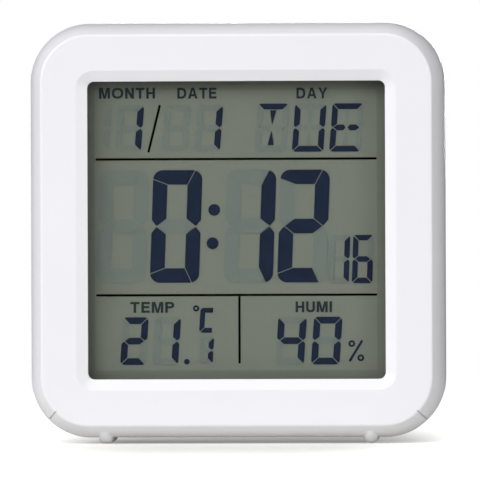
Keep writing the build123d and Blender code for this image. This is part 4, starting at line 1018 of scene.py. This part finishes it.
class CLOCK_OT_stage(ClockOperator):
    """Table, lights and camera"""

    bl_idname = "clock.stage"
    bl_label = "Stage"

    table_reach = 0.5
    table_rings, table_turns = 12, 64  # the middle counts as a ring
    table_shades = ((0.74, 0.735, 0.70), (0.76, 0.755, 0.72))
    # The table's glow is dimmed where the clock stands, a painted shadow: half width and half length of that
    # place and how far behind the clock its middle lies, in metres, and the share of it that is as dim all
    # over
    painted_shadow_place = (0.046, 0.2)
    painted_shadow_middle = 0.017
    painted_shadow_core = 0.2
    # Turn to the right of the front, height angle, distance in metres and size in metres of each light
    lights = {
        "key": (-30.0, 22.0, 1.6, 1.0),
        "side": (-62.0, 20.0, 1.6, 0.8),
        "front": (8.0, 36.0, 1.9, 1.0),
        "overhead": (0.0, 75.0, 1.35, 1.2),
        "fill": (50.0, 5.0, 1.5, 0.5),
        "rear": (180.0, 6.0, 1.5, 0.25),
        "bounce": (0.0, -86.0, 1.2, 0.6),
    }
    bounce_tint = (1.0, 1.0, 0.86)
    nearest = 0.01  # the camera sees nothing closer, in metres
    clear_layers = 24  # how many clear surfaces in a row light passes

    def light(self, context, name, watts):
        """One square light, aimed at the middle of the case."""
        turn, height, distance, size = self.lights[name]
        turn, height = math.radians(turn), math.radians(height)
        level = math.cos(height)
        towards = Vector((level * math.sin(turn), -level * math.cos(turn), math.sin(height)))
        lamp = bpy.data.lights.new(name + "_light", "AREA")
        lamp.shape = "SQUARE"
        lamp.size = size
        lamp.energy = watts
        made = bpy.data.objects.new(name + "_light", lamp)
        context.scene.collection.objects.link(made)
        made.location = middle("front_case") + towards * distance
        made.rotation_euler = (-towards).to_track_quat("-Z", "Y").to_euler()
        return made

    def table(self, context, painted_shadow_glow):
        """Round table top: distance from the middle by turn, level with the underside of the feet.

        The distance of ring k is the square of its share of all the rings, times the reach of the table.
        """
        rings = np.linspace(0.0, 1.0, self.table_rings)[1:] ** 2 * self.table_reach
        turns = np.linspace(0.0, 2 * np.pi, self.table_turns, endpoint=False)
        reach, turn = np.meshgrid(rings, turns, indexing="ij")
        flat = np.column_stack([(reach * np.cos(turn)).ravel(), (reach * np.sin(turn)).ravel()])
        corners = np.vstack([[0.0, 0.0, 0.0], np.column_stack([flat, np.zeros(len(flat))])])
        count = len(turns)
        ring = np.arange(count)
        after = np.roll(ring, -1)
        hub = np.column_stack([np.zeros(count, int), ring + 1, after + 1])
        bands = np.arange(len(rings) - 1)[:, None] * count + 1
        inner, outer = bands + ring, bands + ring + count
        quads = np.stack([inner, outer, bands + after + count, bands + after], axis=-1).reshape(-1, 4)
        mesh = bpy.data.meshes.new("table_top")
        mesh.from_pydata(corners, [], [*hub.tolist(), *quads.tolist()])
        p = paint("table_pale")
        cloud = p.noise(size=0.3, detail=3.0)
        x, y, _ = p.axes()
        half_width, half_length = self.painted_shadow_place
        across = (x * (1 / half_width)) ** 2.0
        along = (y - self.painted_shadow_middle) * (1 / half_length)
        # Painted shadow: the table's glow falls from full to the given glow round the place where the clock
        # stands
        glow_under_painted_shadow = p.node(
            "ShaderNodeMapRange",
            {"interpolation_type": "SMOOTHSTEP"},
            {
                "Value": (across * across + along * along) ** 0.5,
                "From Min": self.painted_shadow_core,
                "From Max": 1.0,
                "To Min": painted_shadow_glow,
                "To Max": 1.0,
            },
        ).outputs[0]
        mesh.materials.append(
            p.shade(
                {
                    "Base Color": p.blend(cloud, *self.table_shades),
                    "Roughness": 0.8,
                    "Specular IOR Level": 0.1,
                    "Emission Color": p.blend(glow_under_painted_shadow, BLACK, WHITE),
                    "Emission Strength": 1.0,
                }
            )
        )
        made = bpy.data.objects.new("table_top", mesh)
        context.scene.collection.objects.link(made)
        # The glow of the table reaches the table alone
        own = bpy.data.collections.new("table_glow")
        own.objects.link(made)
        made.light_linking.receiver_collection = own
        return made

    def world(self, context, sky):
        """Even light from all round, with a white backdrop behind the table."""
        p = Paint(bpy.data.worlds.new("studio"))
        seen = Value(p, p.node("ShaderNodeLightPath").outputs["Is Camera Ray"])
        strength = seen * (1.0 - sky) + sky
        light = p.node("ShaderNodeBackground", None, {"Color": WHITE, "Strength": strength})
        p.node("ShaderNodeOutputWorld", None, {"Surface": light.outputs[0]})
        context.scene.world = p.owner

    def camera(self, context, given):
        """Level camera whose picture has the given width and middle in the plane of the front."""
        back = Vector((math.sin(given.azimuth), -math.cos(given.azimuth), 0.0))
        aim = Vector((given.aim_side, CAD_BOX[0].y, given.aim_height))
        lens = bpy.data.cameras.new("camera")
        lens.lens = lens.sensor_width * given.distance / given.view_width
        lens.clip_start = self.nearest
        made = bpy.data.objects.new("camera", lens)
        context.scene.collection.objects.link(made)
        turn = (-back).to_track_quat("-Z", "Y").to_matrix() @ Matrix.Rotation(given.roll, 3, "Z")
        made.matrix_world = Matrix.Translation(aim + back * given.distance) @ turn.to_4x4()
        context.scene.camera = made

    def execute(self, context):
        given = context.scene.clock_stage
        table = self.table(context, given.painted_shadow_glow)
        lights = {name: self.light(context, name, getattr(given, name)) for name in self.lights}
        # The rear light misses the table, and the bounce light comes up through it
        all_but_table = bpy.data.collections.new("all_but_table")
        all_but_table.objects.link(table)
        all_but_table.collection_objects[0].light_linking.link_state = "EXCLUDE"
        for name in ("rear", "bounce"):
            lights[name].light_linking.receiver_collection = all_but_table
        lights["bounce"].light_linking.blocker_collection = all_but_table
        lights["bounce"].data.color = self.bounce_tint
        self.world(context, given.sky)
        self.camera(context, given)
        context.scene.view_settings.view_transform = "Standard"
        context.scene.cycles.transparent_max_bounces = self.clear_layers
        return {"FINISHED"}


OPERATORS = (
    CLOCK_OT_case,
    CLOCK_OT_buttons,
    CLOCK_OT_button_words,
    CLOCK_OT_display,
    CLOCK_OT_segments,
    CLOCK_OT_display_words,
    CLOCK_OT_display_lines,
    CLOCK_OT_board,
    CLOCK_OT_power,
    CLOCK_OT_screws,
    CLOCK_OT_stage,
)
GROUPS = {
    "clock_case": ClockCase,
    "clock_display": ClockDisplay,
    "clock_inside": ClockInside,
    "clock_stage": ClockStage,
}


class CLOCK_PT_pieces(bpy.types.Panel):
    """Lists the pieces of the clock and what can be changed about them"""

    bl_idname = "CLOCK_PT_pieces"
    bl_label = "Table clock"
    bl_space_type = "VIEW_3D"
    bl_region_type = "UI"
    bl_category = "Clock"

    def draw(self, context):
        for operator in OPERATORS:
            self.layout.operator(operator.bl_idname)
        for name, group in GROUPS.items():
            column = self.layout.column(align=True)
            for setting in group.__annotations__:
                column.prop(getattr(context.scene, name), setting)


def register():
    for made in (*GROUPS.values(), *OPERATORS, CLOCK_PT_pieces):
        bpy.utils.register_class(made)
    for name, group in GROUPS.items():
        setattr(bpy.types.Scene, name, PointerProperty(type=group))


def unregister():
    for name in GROUPS:
        delattr(bpy.types.Scene, name)
    for made in reversed((*GROUPS.values(), *OPERATORS, CLOCK_PT_pieces)):
        bpy.utils.unregister_class(made)


def main():
    register()
    for operator in OPERATORS:
        group, name = operator.bl_idname.split(".")
        getattr(getattr(bpy.ops, group), name)()


if __name__ == "__main__":
    main()
